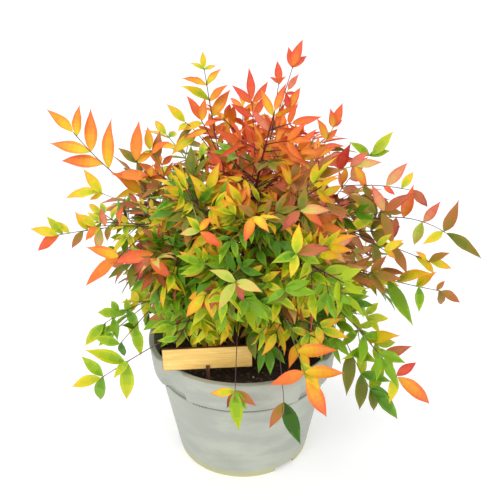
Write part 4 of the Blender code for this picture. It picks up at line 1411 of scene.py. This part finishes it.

# Sprays whose every leaflet shows in the photo: the mass, how far along its stalk they start, how much
# they arch, where their tip shows, how far back it stands, and for each leaflet how far along the spray it
# sits, where its tip shows, and its tint. What shows is given in the photo's pixels, to the right and down,
# measured.
PLACED_SPRAYS = (
    ("left_high", 0.20, -0.24, (73, 132), -0.012, (
        (1.00, (46, 109), "orange"), (0.97, (77, 105), "coral"), (0.86, (48, 142), "orange"),
        (0.86, (92, 109), "orange"), (0.76, (57, 157), "orange"), (0.72, (108, 120), "orange"),
        (0.45, (114, 171), "orange"))),
    ("left_high", 0.20, -0.10, (99, 192), -0.040, (
        (1.00, (61, 193), "amber"), (0.97, (83, 169), "amber"), (0.96, (89, 200), "gold"))),
    ("left_high", 0.30, -0.20, (136, 161), -0.020, (
        (1.00, (137, 121), "orange"), (0.97, (118, 147), "bronze"), (0.97, (155, 148), "coral"),
        (0.74, (111, 173), "orange"), (0.74, (151, 165), "orange"))),
    ("top_left_spire", 0.60, 0.00, (204, 68), 0.004, (
        (1.00, (202, 51), "gold"), (0.98, (190, 62), "amber"), (0.98, (216, 65), "amber"),
        (0.74, (182, 76), "orange"), (0.74, (220, 67), "orange"), (0.52, (182, 83), "gold"),
        (0.50, (225, 82), "orange"), (0.28, (230, 88), "orange"))),
    ("top_left_spire", 0.45, 0.10, (201, 120), -0.010, (
        (1.00, (187, 95), "coral"), (0.97, (205, 98), "coral"), (0.90, (180, 128), "gold"),
        (0.84, (218, 119), "scarlet"), (0.70, (184, 138), "coral"))),
    ("top_left_spire", 0.40, 0.16, (185, 122), -0.004, (
        (1.00, (167, 103), "amber"), (0.97, (178, 131), "gold"), (0.80, (176, 142), "bronze"),
        (0.66, (168, 152), "amber"))),
    ("right_high", 0.52, 0.00, (334, 126), 0.010, (
        (1.00, (343, 102), "coral"), (0.97, (331, 109), "scarlet"), (0.97, (343, 118), "coral"),
        (0.72, (319, 118), "orange"), (0.72, (338, 128), "orange"))),
    ("right_low", 0.66, 0.04, (397, 377), -0.112, (
        (1.00, (436, 405), "orange"), (0.98, (418, 361), "scarlet"), (0.97, (391, 404), "gold"),
        (0.66, (411, 345), "bronze"), (0.64, (370, 402), "lime"), (0.36, (396, 333), "gold"))),
    ("right_low", 0.56, -0.10, (371, 390), -0.125, (
        (1.00, (404, 419), "green"), (0.97, (377, 415), "green"), (0.97, (392, 396), "green"),
        (0.76, (361, 412), "green"), (0.76, (391, 382), "green"), (0.50, (346, 397), "green"),
        (0.50, (378, 361), "green"))),
    ("front_left_low", 0.72, 0.02, (101, 378), -0.120, (
        (1.00, (67, 385), "gold"), (0.97, (80, 355), "lime"), (0.97, (96, 406), "lime"),
        (0.68, (86, 348), "lime"), (0.66, (128, 407), "lime"), (0.64, (111, 378), "lime"))),
    ("left_low", 0.60, 0.10, (104, 324), -0.075, (
        (1.00, (83, 346), "gold"), (0.97, (100, 341), "lime"), (0.80, (118, 340), "lime"),
        (0.50, (111, 318), "lime"), (0.50, (140, 330), "green"))),
    ("left_low", 0.50, 0.02, (120, 344), -0.100, (
        (1.00, (93, 337), "lime"), (0.97, (124, 358), "green"), (0.70, (124, 324), "green"),
        (0.68, (142, 358), "lime"))),
    ("left_mid", 0.58, 0.02, (58, 235), -0.008, (
        (1.00, (29, 227), "gold"), (0.98, (32, 251), "coral"), (0.93, (46, 216), "lime"),
        (0.84, (55, 221), "gold"), (0.66, (71, 249), "bronze"), (0.60, (75, 211), "amber"),
        (0.50, (82, 219), "orange"), (0.44, (98, 252), "rose"))),
    ("right_mid", 0.40, 0.30, (446, 233), -0.012, (
        (1.00, (487, 258), "bronze"), (0.98, (459, 202), "bronze"), (0.97, (424, 245), "gold"),
        (0.78, (441, 203), "rose"), (0.77, (413, 248), "blush"), (0.60, (414, 187), "coral"),
        (0.54, (391, 244), "rose"), (0.50, (371, 187), "bronze"))),
    ("right_back_low", 0.60, -0.04, (441, 291), -0.055, (
        (1.00, (464, 302), "rose"), (0.98, (444, 309), "bronze"), (0.96, (445, 280), "rose"),
        (0.80, (421, 313), "lime"), (0.78, (434, 271), "amber"), (0.52, (412, 326), "lime"),
        (0.60, (428, 268), "amber"), (0.40, (399, 268), "amber"))),
    ("right_mid", 0.52, 0.02, (430, 262), -0.035, (
        (1.00, (455, 267), "amber"), (0.98, (449, 251), "amber"), (0.96, (416, 251), "scarlet"),
        (0.80, (437, 275), "gold"), (0.56, (402, 240), "gold"), (0.50, (409, 274), "amber"))),
    ("front_right_low", 0.42, 0.12, (306, 378), -0.185, (
        (1.00, (329, 423), "orange"), (0.94, (270, 385), "orange"), (0.94, (346, 374), "orange"),
        (0.84, (323, 393), "amber"), (0.72, (336, 348), "coral"))),
    ("left_mid", 0.48, 0.02, (96, 226), -0.040, (
        (1.00, (75, 212), "amber"), (0.97, (84, 240), "orange"), (0.84, (100, 208), "coral"),
        (0.78, (106, 242), "amber"), (0.60, (122, 206), "scarlet"), (0.52, (127, 238), "gold"))),
    ("back_right_high", 0.50, 0.06, (372, 155), 0.030, (
        (1.00, (395, 131), "lime"), (0.97, (350, 141), "lime"), (0.96, (392, 150), "lime"))),
    ("right_high", 0.48, 0.06, (356, 166), 0.000, (
        (1.00, (383, 161), "rose"), (0.97, (371, 191), "coral"), (0.88, (368, 149), "coral"),
        (0.80, (342, 187), "orange"), (0.66, (348, 144), "scarlet"))),
    ("right_high", 0.38, 0.12, (410, 190), -0.012, (
        (1.00, (433, 207), "rose"), (0.92, (414, 170), "amber"), (0.78, (408, 161), "rose"),
        (0.76, (395, 195), "coral"), (0.58, (372, 200), "bronze"))),
    ("top_right_spire", 0.60, 0.00, (293, 66), 0.004, (
        (1.00, (302, 38), "coral"), (0.97, (289, 46), "scarlet"), (0.97, (307, 54), "coral"))),
    ("top_right_spire", 0.58, 0.04, (279, 82), 0.002, (
        (1.00, (277, 60), "scarlet"), (0.97, (270, 76), "coral"), (0.95, (285, 76), "coral"))),
    ("top_right_spire", 0.57, 0.04, (288, 90), -0.002, (
        (1.00, (299, 74), "coral"), (0.90, (296, 92), "scarlet"))),
    ("top_right_spire", 0.52, 0.04, (289, 108), -0.004, (
        (1.00, (301, 87), "coral"), (0.97, (285, 92), "scarlet"), (0.90, (299, 105), "coral"))),
    ("right_mid", 0.44, 0.10, (386, 211), -0.030, (
        (1.00, (404, 213), "rose"), (0.97, (413, 191), "rose"), (0.97, (371, 185), "rose"),
        (0.90, (394, 247), "rose"), (0.80, (350, 193), "bronze"), (0.75, (345, 233), "bronze"))),
    ("right_mid", 0.50, 0.06, (384, 250), -0.060, (
        (1.00, (404, 239), "gold"), (0.97, (399, 258), "amber"), (0.80, (392, 234), "lime"),
        (0.70, (380, 275), "bronze"))),
    ("right_low", 0.30, 0.10, (352, 303), -0.090, (
        (1.00, (374, 305), "green"), (0.97, (368, 289), "green"), (0.96, (372, 317), "green"),
        (0.70, (353, 323), "green"), (0.60, (338, 318), "bronze"))),
    ("left_high", 0.34, -0.10, (150, 150), -0.010, (
        (1.00, (147, 126), "amber"), (0.97, (143, 152), "amber"), (0.95, (166, 140), "orange"),
        (0.80, (158, 130), "bronze"))),
    ("left_mid", 0.40, -0.06, (150, 258), -0.130, (
        (1.00, (171, 280), "coral"), (0.98, (130, 283), "rose"), (0.90, (118, 281), "bronze"),
        (0.80, (112, 262), "coral"))),
    ("left_mid", 0.48, 0.04, (118, 258), -0.125, (
        (1.00, (83, 286), "orange"), (0.97, (86, 247), "coral"), (0.85, (104, 268), "bronze"))),
    ("front_mid", 0.72, 0.10, (236, 283), -0.212, (
        (1.00, (245, 303), "rose"), (0.98, (216, 309), "blush"), (0.96, (211, 266), "blush"),
        (0.92, (263, 290), "blush"))),
    ("front_high", 0.72, 0.06, (254, 216), -0.168, (
        (1.00, (245, 243), "coral"), (0.97, (270, 231), "amber"), (0.95, (240, 204), "amber"))),
    ("front_left_high", 0.74, 0.06, (200, 232), -0.165, (
        (1.00, (223, 247), "coral"), (0.98, (178, 233), "blush"), (0.96, (212, 216), "orange"),
        (0.94, (188, 216), "amber"))),
    ("front_right_high", 0.70, 0.06, (300, 211), -0.150, (
        (1.00, (331, 208), "rose"), (0.98, (307, 187), "bronze"), (0.96, (281, 231), "rose"),
        (0.90, (326, 226), "coral"))),
    ("front_right_mid", 0.66, 0.10, (296, 254), -0.190, (
        (1.00, (300, 224), "amber"), (0.98, (292, 279), "gold"), (0.96, (331, 246), "bronze"),
        (0.94, (324, 264), "lime"), (0.92, (273, 262), "green"))),
    ("front_right_mid", 0.74, 0.04, (284, 290), -0.205, (
        (1.00, (319, 293), "lime"), (0.98, (311, 278), "lime"), (0.96, (266, 303), "lime"))),
)

# Two thin leaves hang over the rim in front: the mass, how far along its stalk they start, the place of
# their tip, and each leaflet's turn from the stalk's heading, its length and its way of turning
HANGING_LEAVES = (
    ("front_low", 0.46, (-0.008, -0.153, 0.186), (
        (4.0, 0.052, ("bright", 2, 4)), (-78.0, 0.034, ("bright", 3, 8)), (34.0, 0.030, ("bright", 2, 3)),
        (58.0, 0.034, ("dull", 1, 3)), (-26.0, 0.026, ("dull", 2, 5)))),
    ("front_right_low", 0.30, (0.051, -0.158, 0.173), (
        (16.0, 0.058, ("bright", 0, 1)), (-36.0, 0.040, ("dull", 1, 4)))),
)


def stalk_finish(name, colour):
    """A smooth skin in one colour, a little duller in patches."""
    finish, shader, node, link = new_material(f"stalk_{name}")
    wear = add_wear(node, *STALK_WEAR)
    shader.inputs["Base Color"].default_value = from_display(*colour)
    link(fit_range(node, link, wear.outputs["Blotch"], *STALK_ROUGHNESS), shader.inputs["Roughness"])
    add_relief(node, link, shader, wear.outputs["Speck"], STALK_GRAIN)
    return finish


class Stalks:
    """The joined stalks of one mass."""

    def __init__(self):
        self.corners, self.faces, self.finishes = [], [], []

    def add(self, limb, rings, around, colour, joints=()):
        far = limb.places[-1] * NEAR_END
        points, radii = [], []
        for place in sorted({*even(0.0, far, rings), *joints}):
            point, radius, _ = limb.at(min(place, far))
            points.append(point)
            radii.append(radius * (JOINT_SWELL if place in joints else 1.0))
        corners, faces = tube(points, radii, around)
        self.faces += [[len(self.corners) + i for i in face] for face in faces]
        self.corners += corners
        self.finishes += [list(STALK_COLOURS).index(colour)] * len(faces)


def seen_at(spot, depth):
    """The place at a depth that the camera sees at a spot of the photo."""
    down = math.radians(CAMERA_DOWN)
    eye = Vector(CAMERA_PLACE)
    ahead = Vector((0.0, math.cos(down), -math.sin(down)))
    above = Vector((0.0, math.sin(down), math.cos(down)))
    right = (spot[0] / PHOTO_WIDTH - 0.5) * SENSOR_WIDTH / CAMERA_LENS
    rise = (0.5 - spot[1] / PHOTO_WIDTH) * SENSOR_WIDTH / CAMERA_LENS
    sight = ahead + Vector((right, 0.0, 0.0)) + above * rise
    return eye + sight * ((depth - eye.y) / sight.y)


def leaflet_test(base, along, normal, length, slimness):
    """A flat lozenge that stands for a leaflet while its place is tried."""
    middle = base + along * (length * BLADE_WIDEST)
    half = normal.cross(along) * (length * slimness * LEAFLET_SLIM_TEST / 2)
    start = base + along * (length * LOZENGE_START)
    tip = base + along * length
    rise = normal * LOZENGE_RISE
    corners = [start, middle - half, tip, middle + half, middle + rise, middle - rise]
    over = [(i, (i + 1) % 4, 4) for i in range(4)]
    return corners, over + [((i + 1) % 4, i, 5) for i in range(4)]


def hides_label(spot):
    """Whether a point hides the label, or the strip of soil under it, from the camera."""
    eye = Vector(CAMERA_PLACE)
    sight = spot - eye
    hit = eye + sight * ((BOARD_FOOT.y - eye.y) / sight.y)
    across = abs(hit.x - BOARD_FOOT.x) < BOARD_WIDTH / 2 + LABEL_MARGIN
    low, high = BOARD_FOOT.z - LABEL_SOIL_STRIP, BOARD_FOOT.z + BOARD_HEIGHT
    return spot.y < BOARD_FOOT.y + LABEL_FRONT and across and low < hit.z < high


class Mass:
    """One growing mass: its room in the crown, its stalks and its leaflets."""

    def __init__(self, name, row, number, sites, obstacles):
        self.name, self.limb = name, limbs[name]
        self.azimuth, self.elevation, reach = row[:3]
        self.reach = reach * REACH_SPARE
        self.most = OPEN_MASSES.get(name, LEAFLETS_MOST)
        self.height = "high" if self.elevation > HIGH_FROM else "low" if self.elevation < 0 else "mid"
        self.tints = DRESS[name][1:3]
        self.leaf_length, self.slimness, self.pair_gap, self.stalked = DRESS[name][3:]
        self.rng = random.Random(MASS_SEED + number)
        self.depths = random.Random(DEPTH_SEED + number)
        own = sites[name]
        self.walls = [(own - other).normalized() for key, other in sites.items() if key != name]
        self.obstacles = obstacles
        self.trees = []
        self.leaves, self.stalks = Leaves(), Stalks()
        lean = max(0.0, min(1.0, 1.0 - LIGHT_TURN * math.sin(math.radians(self.azimuth))))
        lightward = Vector((0.0, -LIGHT_LEAN * lean, 0.0))
        self.outward = UP + direction(self.azimuth, 0) * OUTWARD_LEAN + lightward

    def room_for(self, corners):
        """Whether corners stay in the mass's own room, and off the sight of the label."""
        for corner in corners:
            spot = corner - HEART
            if spot.length > self.reach or any(spot.dot(wall) < -LEAF_STRAY for wall in self.walls):
                return False
            if hides_label(corner):
                return False
        return True

    def take(self, shape, twig, joined=()):
        """Keep a shape, unless it leaves the mass's room or crosses a twig that it isn't joined to."""
        if not self.room_for(shape[0]):
            return False
        tree = search_tree(shape)
        if tree.overlap(self.obstacles):
            return False
        if any(tree.overlap(other) for key, other in self.trees if key not in joined):
            return False
        self.trees.append((twig, tree))
        return True

    def outerness(self, spot):
        """How far out a point stands: 0 at the crown's heart and 1 at the mass's far tip."""
        return (spot - HEART).length / self.reach

    def spray_tint(self, spot):
        """The tint of a spray: the mass's own towards the tips, and more green inside."""
        chance = self.rng.random()
        inner = self.rng.random() > (self.outerness(spot) - INNER_SLACK) * INNER_RISE
        if inner or chance > 1.0 - ODD_TINT_SHARE:
            tint = self.rng.choice(INNER_TINTS[self.height])
            return "green" if tint == "shade" and self.outerness(spot) > SHADE_REACH else tint
        return self.tints[0] if chance < MAIN_TINT_SHARE else self.tints[1]

    def leaflet(self, twig, place, base, along, normal, turning, scale=1.0):
        """A leaflet at the first size and tilt that the mass has room for."""
        rng = self.rng
        grown_size = INNER_SCALE + (1.0 - INNER_SCALE) * min(1.0, self.outerness(base) * FULL_SIZE_RISE)
        for size in LEAFLET_SIZES:
            length = self.leaf_length * size * scale * grown_size * rng.uniform(*LEAFLET_LENGTHS)
            facing = turned(normal, along, rng.uniform(-LEAFLET_ROLL, LEAFLET_ROLL))
            heading = turned(along, facing.cross(along), rng.uniform(-LEAFLET_LIFT, LEAFLET_DROOP))
            up = square_to(heading, facing)
            slimness = self.slimness * rng.uniform(*LEAFLET_WIDTHS)
            shape = leaflet_test(base, heading, up, length, slimness)
            if self.take(shape, (twig, place), (twig, (twig, place))):
                self.leaves.add(base, heading, up, length, slimness, turning, rng)
                return 1
        return 0

    def leaflets(self, twig, limb, places, along, normal, turning, scale=1.0):
        """A leaflet at a stalk's tip, and an opposite pair at each place along it."""
        grown = self.leaflet(twig, 1.0, limb.tip, along, normal, turning, scale * TIP_LEAFLET)
        for place in places:
            point, _, heading = limb.at(place)
            for hand in (-1, 1):
                sideways = turned(heading, normal, hand * self.rng.uniform(*LEAFLET_ANGLE))
                grown += self.leaflet(twig, place, point, sideways, normal, turning, scale)
        return grown

    def stalk_colour(self, tint):
        """A stalk's colour, redder under red leaflets."""
        if tint in RED_TINTS:
            return "purple" if self.rng.random() < PURPLE_SHARE else "red"
        return "green" if self.rng.random() < GREEN_SHARE else "purple"

    def side_stalk(self, twig, start, along, normal, length, tint, joined=()):
        """A side stalk with its leaflets, as long as there is room for, or nothing."""
        before = len(self.trees)
        for size in SIDE_SIZES:
            reach = length * size
            end = start + along * reach + UP * (-SIDE_SAG * reach)
            control = start + along * (reach / 2)
            radii = even(SIDE_RADIUS, SIDE_TIP_RADIUS, SIDE_RINGS)
            heading = (end - control).normalized()
            stalk = Limb(start, control, end, even(0.0, 1.0, SIDE_RINGS), radii, along, heading)
            if not self.take(stalk.shape(3), twig, joined):
                continue
            pairs, back = [], TIP_PAIR_BACK * SIDE_TIP_PAIR
            while back < reach * SIDE_PAIRS_REACH:
                pairs.append(1.0 - back / reach)
                back += self.leaf_length * SIDE_PAIR_GAP
            spray = tint or self.spray_tint(end)
            turning = self.rng.choice(TINTS[spray])
            sprigs = pairs[-1:] if reach > SPRIG_FROM else []
            up = square_to(heading, normal)
            grown = self.leaflets(twig, stalk, [p for p in pairs if p not in sprigs], heading, up, turning)
            for place in sprigs:
                point, _, course = stalk.at(place)
                for hand in (-1, 1):
                    sideways = turned(course, normal, hand * self.rng.uniform(*SIDE_ANGLE))
                    carriers = (twig, (twig, place))
                    grown += self.sprig((*twig, hand), point, sideways, normal, spray, carriers)
            if grown >= LEAFLETS_LEAST:
                self.stalks.add(stalk, SIDE_RINGS, SIDE_AROUND, self.stalk_colour(spray), pairs)
                return grown
            del self.trees[before:]
        return 0

    def sprig(self, twig, start, along, normal, tint, joined):
        """A short stalk with three leaflets at its tip."""
        end = start + along * SPRIG_LENGTH * self.rng.uniform(*SPRIG_LENGTHS)
        radii = even(SIDE_RADIUS * SPRIG_SLIMNESS, SIDE_TIP_RADIUS, 3)
        stalk = Limb(start, (start + end) / 2, end, even(0.0, 1.0, 3), radii, along, along)
        if not self.take(stalk.shape(3), twig, joined):
            return 0
        turning = self.rng.choice(TINTS[tint])
        up = square_to(along, normal)
        grown = self.leaflets(twig, stalk, (SPRIG_PAIR,), along, up, turning, SPRIG_SCALE)
        if grown:
            self.stalks.add(stalk, 3, SIDE_AROUND, self.stalk_colour(tint))
        return grown

    def grow(self):
        """The main stalk, then the leaves with a place of their own, then whatever there is room for."""
        self.grow_stalk()
        for carrier, *details in SINGLE_LEAVES:
            if carrier == self.name:
                self.grow_single_leaf(*details)
        for carrier, *details in PLACED_SPRAYS:
            if carrier == self.name:
                self.grow_placed_spray(*details)
        for carrier, *details in HANGING_LEAVES:
            if carrier == self.name:
                self.grow_hanging_leaf(*details)
        joints = self.grow_tip()
        joints += self.grow_sides()
        self.stalks.add(self.stalk, STALK_RINGS, STALK_AROUND, self.stalk_colour(self.tints[0]), joints)

    def grow_stalk(self):
        """The main stalk, from inside the bark to half a leaflet short of the far tip."""
        start = self.limb.tip - self.limb.last * STALK_SINK
        far_tip = HEART + direction(self.azimuth, self.elevation) * self.reach
        self.length = (far_tip - start).length
        control = start + self.limb.last * (self.length * STALK_LEAD)
        far = STALK_KEPT.get(self.name, 1.0 - self.leaf_length / (2 * (far_tip - control).length))
        while hides_label(bend(start, control, far_tip, far)):
            far *= STALK_DRAW_BACK
        places = even(0.0, far, STALK_RINGS)
        radii = even(STALK_RADIUS, STALK_TIP_RADIUS, STALK_RINGS)
        heading = (far_tip - bend(start, control, far_tip, places[-1])).normalized()
        self.stalk = Limb(start, control, far_tip, places, radii, self.limb.last, heading)
        self.trees.append(("stalk", search_tree(self.stalk.shape(3))))
        self.roll = self.rng.uniform(-STALK_ROLL, STALK_ROLL)
        self.normal = turned(square_to(heading, self.outward), heading, self.roll)

    def grow_tip(self):
        """The outer stretch: open, with a leaflet at the tip and opposite leaflets or sprigs behind it."""
        rng, far = self.rng, self.stalk.places[-1]
        pairs, back = [], TIP_PAIR_BACK
        while back < self.length * (1.0 - BARE_TIP_FROM):
            pairs.append(far * (1.0 - back / self.length))
            back += self.pair_gap
        turning = rng.choice(TINTS[self.tints[0]])
        tip, heading = self.stalk.tip, self.stalk.last
        self.leaflet("stalk", 1.0, tip, heading, self.normal, turning, MAIN_TIP_LEAFLET)
        for number, place in enumerate(pairs):
            point, _, course = self.stalk.at(place)
            tint = self.tints[0] if number < 2 or rng.random() < MAIN_TINT_SHARE else self.tints[1]
            if number:
                turning = rng.choice(TINTS[tint])
            for hand in (-1, 1):
                sideways = turned(course, self.normal, hand * rng.uniform(*LEAFLET_ANGLE))
                up = square_to(sideways, self.normal)
                if number and rng.random() < self.stalked:
                    side_length = self.leaf_length * TIP_SIDE_LENGTH * rng.uniform(*TIP_SIDE_LENGTHS)
                    twig = (f"tip{number}", hand)
                    if self.side_stalk(twig, point, sideways, up, side_length, tint, ("stalk",)):
                        continue
                self.leaflet("stalk", place, point, sideways, self.normal, turning)
        return pairs

    def grow_sides(self):
        """The inner stretch: side stalks all round, and more of them wherever there is room."""
        rng, far = self.rng, self.stalk.places[-1]
        sides = int(self.length * BARE_TIP_FROM / SIDE_GAP)
        tries = []
        for i in range(sides):
            twist = self.roll + SIDE_TWIST * (1 if i % 2 else -1)
            tries.append((far * BARE_TIP_FROM * (i + SIDE_FIRST) / sides, twist, (-1, 1)))
        for _ in range(FILLING_TRIES):
            tries.append((far * rng.uniform(*FILLING_PLACES), rng.uniform(0.0, 360.0), (1,)))
        joints = []
        for number, (place, twist, hands) in enumerate(tries):
            if self.leaves.count > self.most:
                break
            point, _, course = self.stalk.at(place)
            facing = turned(square_to(course, self.outward), course, twist)
            tapered = self.length * SIDE_SHARE * (1.0 - SIDE_TAPER * place / far)
            side_length = tapered * rng.uniform(*SIDE_LENGTHS)
            for hand in hands:
                along = turned(course, facing, hand * rng.uniform(*SIDE_ANGLE))
                scatter = rng.uniform(-LEAFLET_SCATTER, LEAFLET_SCATTER)
                up = turned(square_to(along, self.outward), along, scatter)
                joined = ("stalk", (number, -hand))
                if self.side_stalk((number, hand), point, along, up, side_length, None, joined):
                    joints.append(place)
        return joints

    def thin_stalk(self, place, tip, arch):
        """A thin stalk from the main one to a given place, that arches up on its way."""
        start = self.stalk.at(place)[0]
        tip = Vector(tip)
        control = start.lerp(tip, THIN_STALK_BEND) + UP * (arch * (tip - start).length)
        places = even(0.0, 1.0, STALK_RINGS)
        radii = even(SIDE_RADIUS, SIDE_TIP_RADIUS, STALK_RINGS)
        first, last = (control - start).normalized(), (tip - control).normalized()
        return Limb(start, control, tip, places, radii, first, last)

    def put_leaflet(self, base, along, normal, length, slimness, turning):
        """A leaflet that is sure of its place. The ones that come later keep clear of it."""
        up = square_to(along, normal)
        self.trees.append(("placed", search_tree(leaflet_test(base, along, up, length, slimness))))
        self.leaves.add(base, along, up, length, slimness, turning, self.rng)

    def grow_single_leaf(self, place, tip, length, pairs, tint):
        """A leaf of one thin stalk, with a leaflet at its tip and pairs behind it."""
        stalk = self.thin_stalk(place, tip, SINGLE_ARCH)
        rng = self.rng
        span = (stalk.tip - stalk.start).length
        roll = rng.uniform(-SINGLE_ROLL, SINGLE_ROLL)
        facing = turned(square_to(stalk.last, self.outward), stalk.last, roll)
        turning = rng.choice(TINTS[tint])
        self.put_leaflet(stalk.tip, stalk.last, facing, length * SINGLE_TIP, self.slimness, turning)
        joints = [1.0 - (TIP_PAIR_BACK + length * SINGLE_PAIR_GAP * i) / span for i in range(pairs)]
        for joint in joints:
            point, _, heading = stalk.at(joint)
            for hand in (-1, 1):
                sideways = turned(heading, facing, hand * rng.uniform(*LEAFLET_ANGLE))
                size = length * rng.uniform(*SINGLE_LENGTHS)
                self.put_leaflet(point, sideways, facing, size, self.slimness, turning)
        self.stalks.add(stalk, STALK_RINGS, SIDE_AROUND, self.stalk_colour(tint), joints)

    def grow_placed_spray(self, place, arch, spot, depth, leaflets):
        """A spray whose tip and leaflets end where they show in the photo. Longer ones are slimmer."""
        stalk = self.thin_stalk(place, seen_at(spot, depth), arch)
        rng = self.rng
        for joint, leaf_spot, tint in leaflets:
            base = stalk.at(min(joint, LAST_JOINT))[0]
            leaf_depth = depth if joint == 1.0 else depth + self.depths.uniform(*PLACED_DEPTHS)
            along = seen_at(leaf_spot, leaf_depth) - base
            heading = along.normalized()
            roll = rng.uniform(-PLACED_ROLL, PLACED_ROLL)
            facing = turned(square_to(heading, UP + PLACED_LEAN), heading, roll)
            slimness = PLACED_SLIMNESS[0] - PLACED_SLIMNESS[1] * along.length
            length = along.length * PLACED_SPARE
            self.put_leaflet(base, heading, facing, length, slimness, rng.choice(TINTS[tint]))
        joints = sorted({joint for joint, *_ in leaflets})
        colour = "purple" if rng.random() < PLACED_PURPLE_SHARE else "green"
        self.stalks.add(stalk, STALK_RINGS, SIDE_AROUND, colour, joints)

    def grow_hanging_leaf(self, place, tip, leaflets):
        """A bare thin stalk over the rim, with a few slim leaflets fanned out at its tip."""
        stalk = self.thin_stalk(place, tip, HANGING_ARCH)
        self.stalks.add(stalk, STALK_RINGS, SIDE_AROUND, "purple")
        facing = square_to(stalk.last, HANGING_LEAN)
        base = stalk.tip - stalk.last * STALK_SINK
        for angle, length, turning in leaflets:
            along = turned(stalk.last, facing, angle)
            self.put_leaflet(base, along, facing, length, HANGING_SLIMNESS, turning)


def pot_keep_off():
    """The pot as a closed drum, grown a little, for the leaflets to keep clear of."""
    extra = COLLAR_PROUD_FOOT + KEEP_OFF
    points = [Vector((0.0, 0.0, -POT_HEIGHT)), Vector((0.0, 0.0, 0.0)), UP * (POT_HEIGHT + KEEP_OFF)]
    radii = [POT_BASE_RADIUS + extra, POT_BASE_RADIUS + extra, POT_TOP_RADIUS + extra]
    return tube(points, radii, KEEP_OFF_SIDES)


def label_keep_off():
    """The label's board, grown a little on all sides."""
    size = (BOARD_WIDTH + 2 * KEEP_OFF, BOARD_THICKNESS + 2 * KEEP_OFF, BOARD_HEIGHT + 2 * KEEP_OFF)
    corners, faces = block(size)
    return [turned(v, UP, BOARD_TURN) + BOARD_FOOT + UP * (BOARD_HEIGHT / 2) for v in corners], faces


def build_crown():
    """All the masses: a piece of leaflets for each, and one piece of stalks for the whole crown."""
    masses = {**CANE_MASSES, **BOUGH_MASSES}
    sites = {name: direction(row[0], row[1]) for name, row in masses.items()}
    bare = [limb.shape(solid_sides(name)) for name, limb in limbs.items()]
    obstacles = search_tree(pot_keep_off(), label_keep_off(), *bare)
    finishes = [stalk_finish(name, colour) for name, colour in STALK_COLOURS.items()]
    corners, faces, face_finishes = [], [], []
    for number, (name, row) in enumerate(masses.items()):
        mass = Mass(name, row, number, sites, obstacles)
        mass.grow()
        leaves = mass.leaves.piece(f"{name}_leaflets")
        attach(leaves, "root")
        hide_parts(f"{name}_foliage")
        faces += [[len(corners) + i for i in face] for face in mass.stalks.faces]
        corners += mass.stalks.corners
        face_finishes += mass.stalks.finishes
    stalks = new_piece("crown_stalks", corners, faces, finishes, face_finishes)
    shade_round(stalks, 60.0)
    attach(stalks, "root")
    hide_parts(*[f"{name}_foliage" for name in masses])


build_crown()
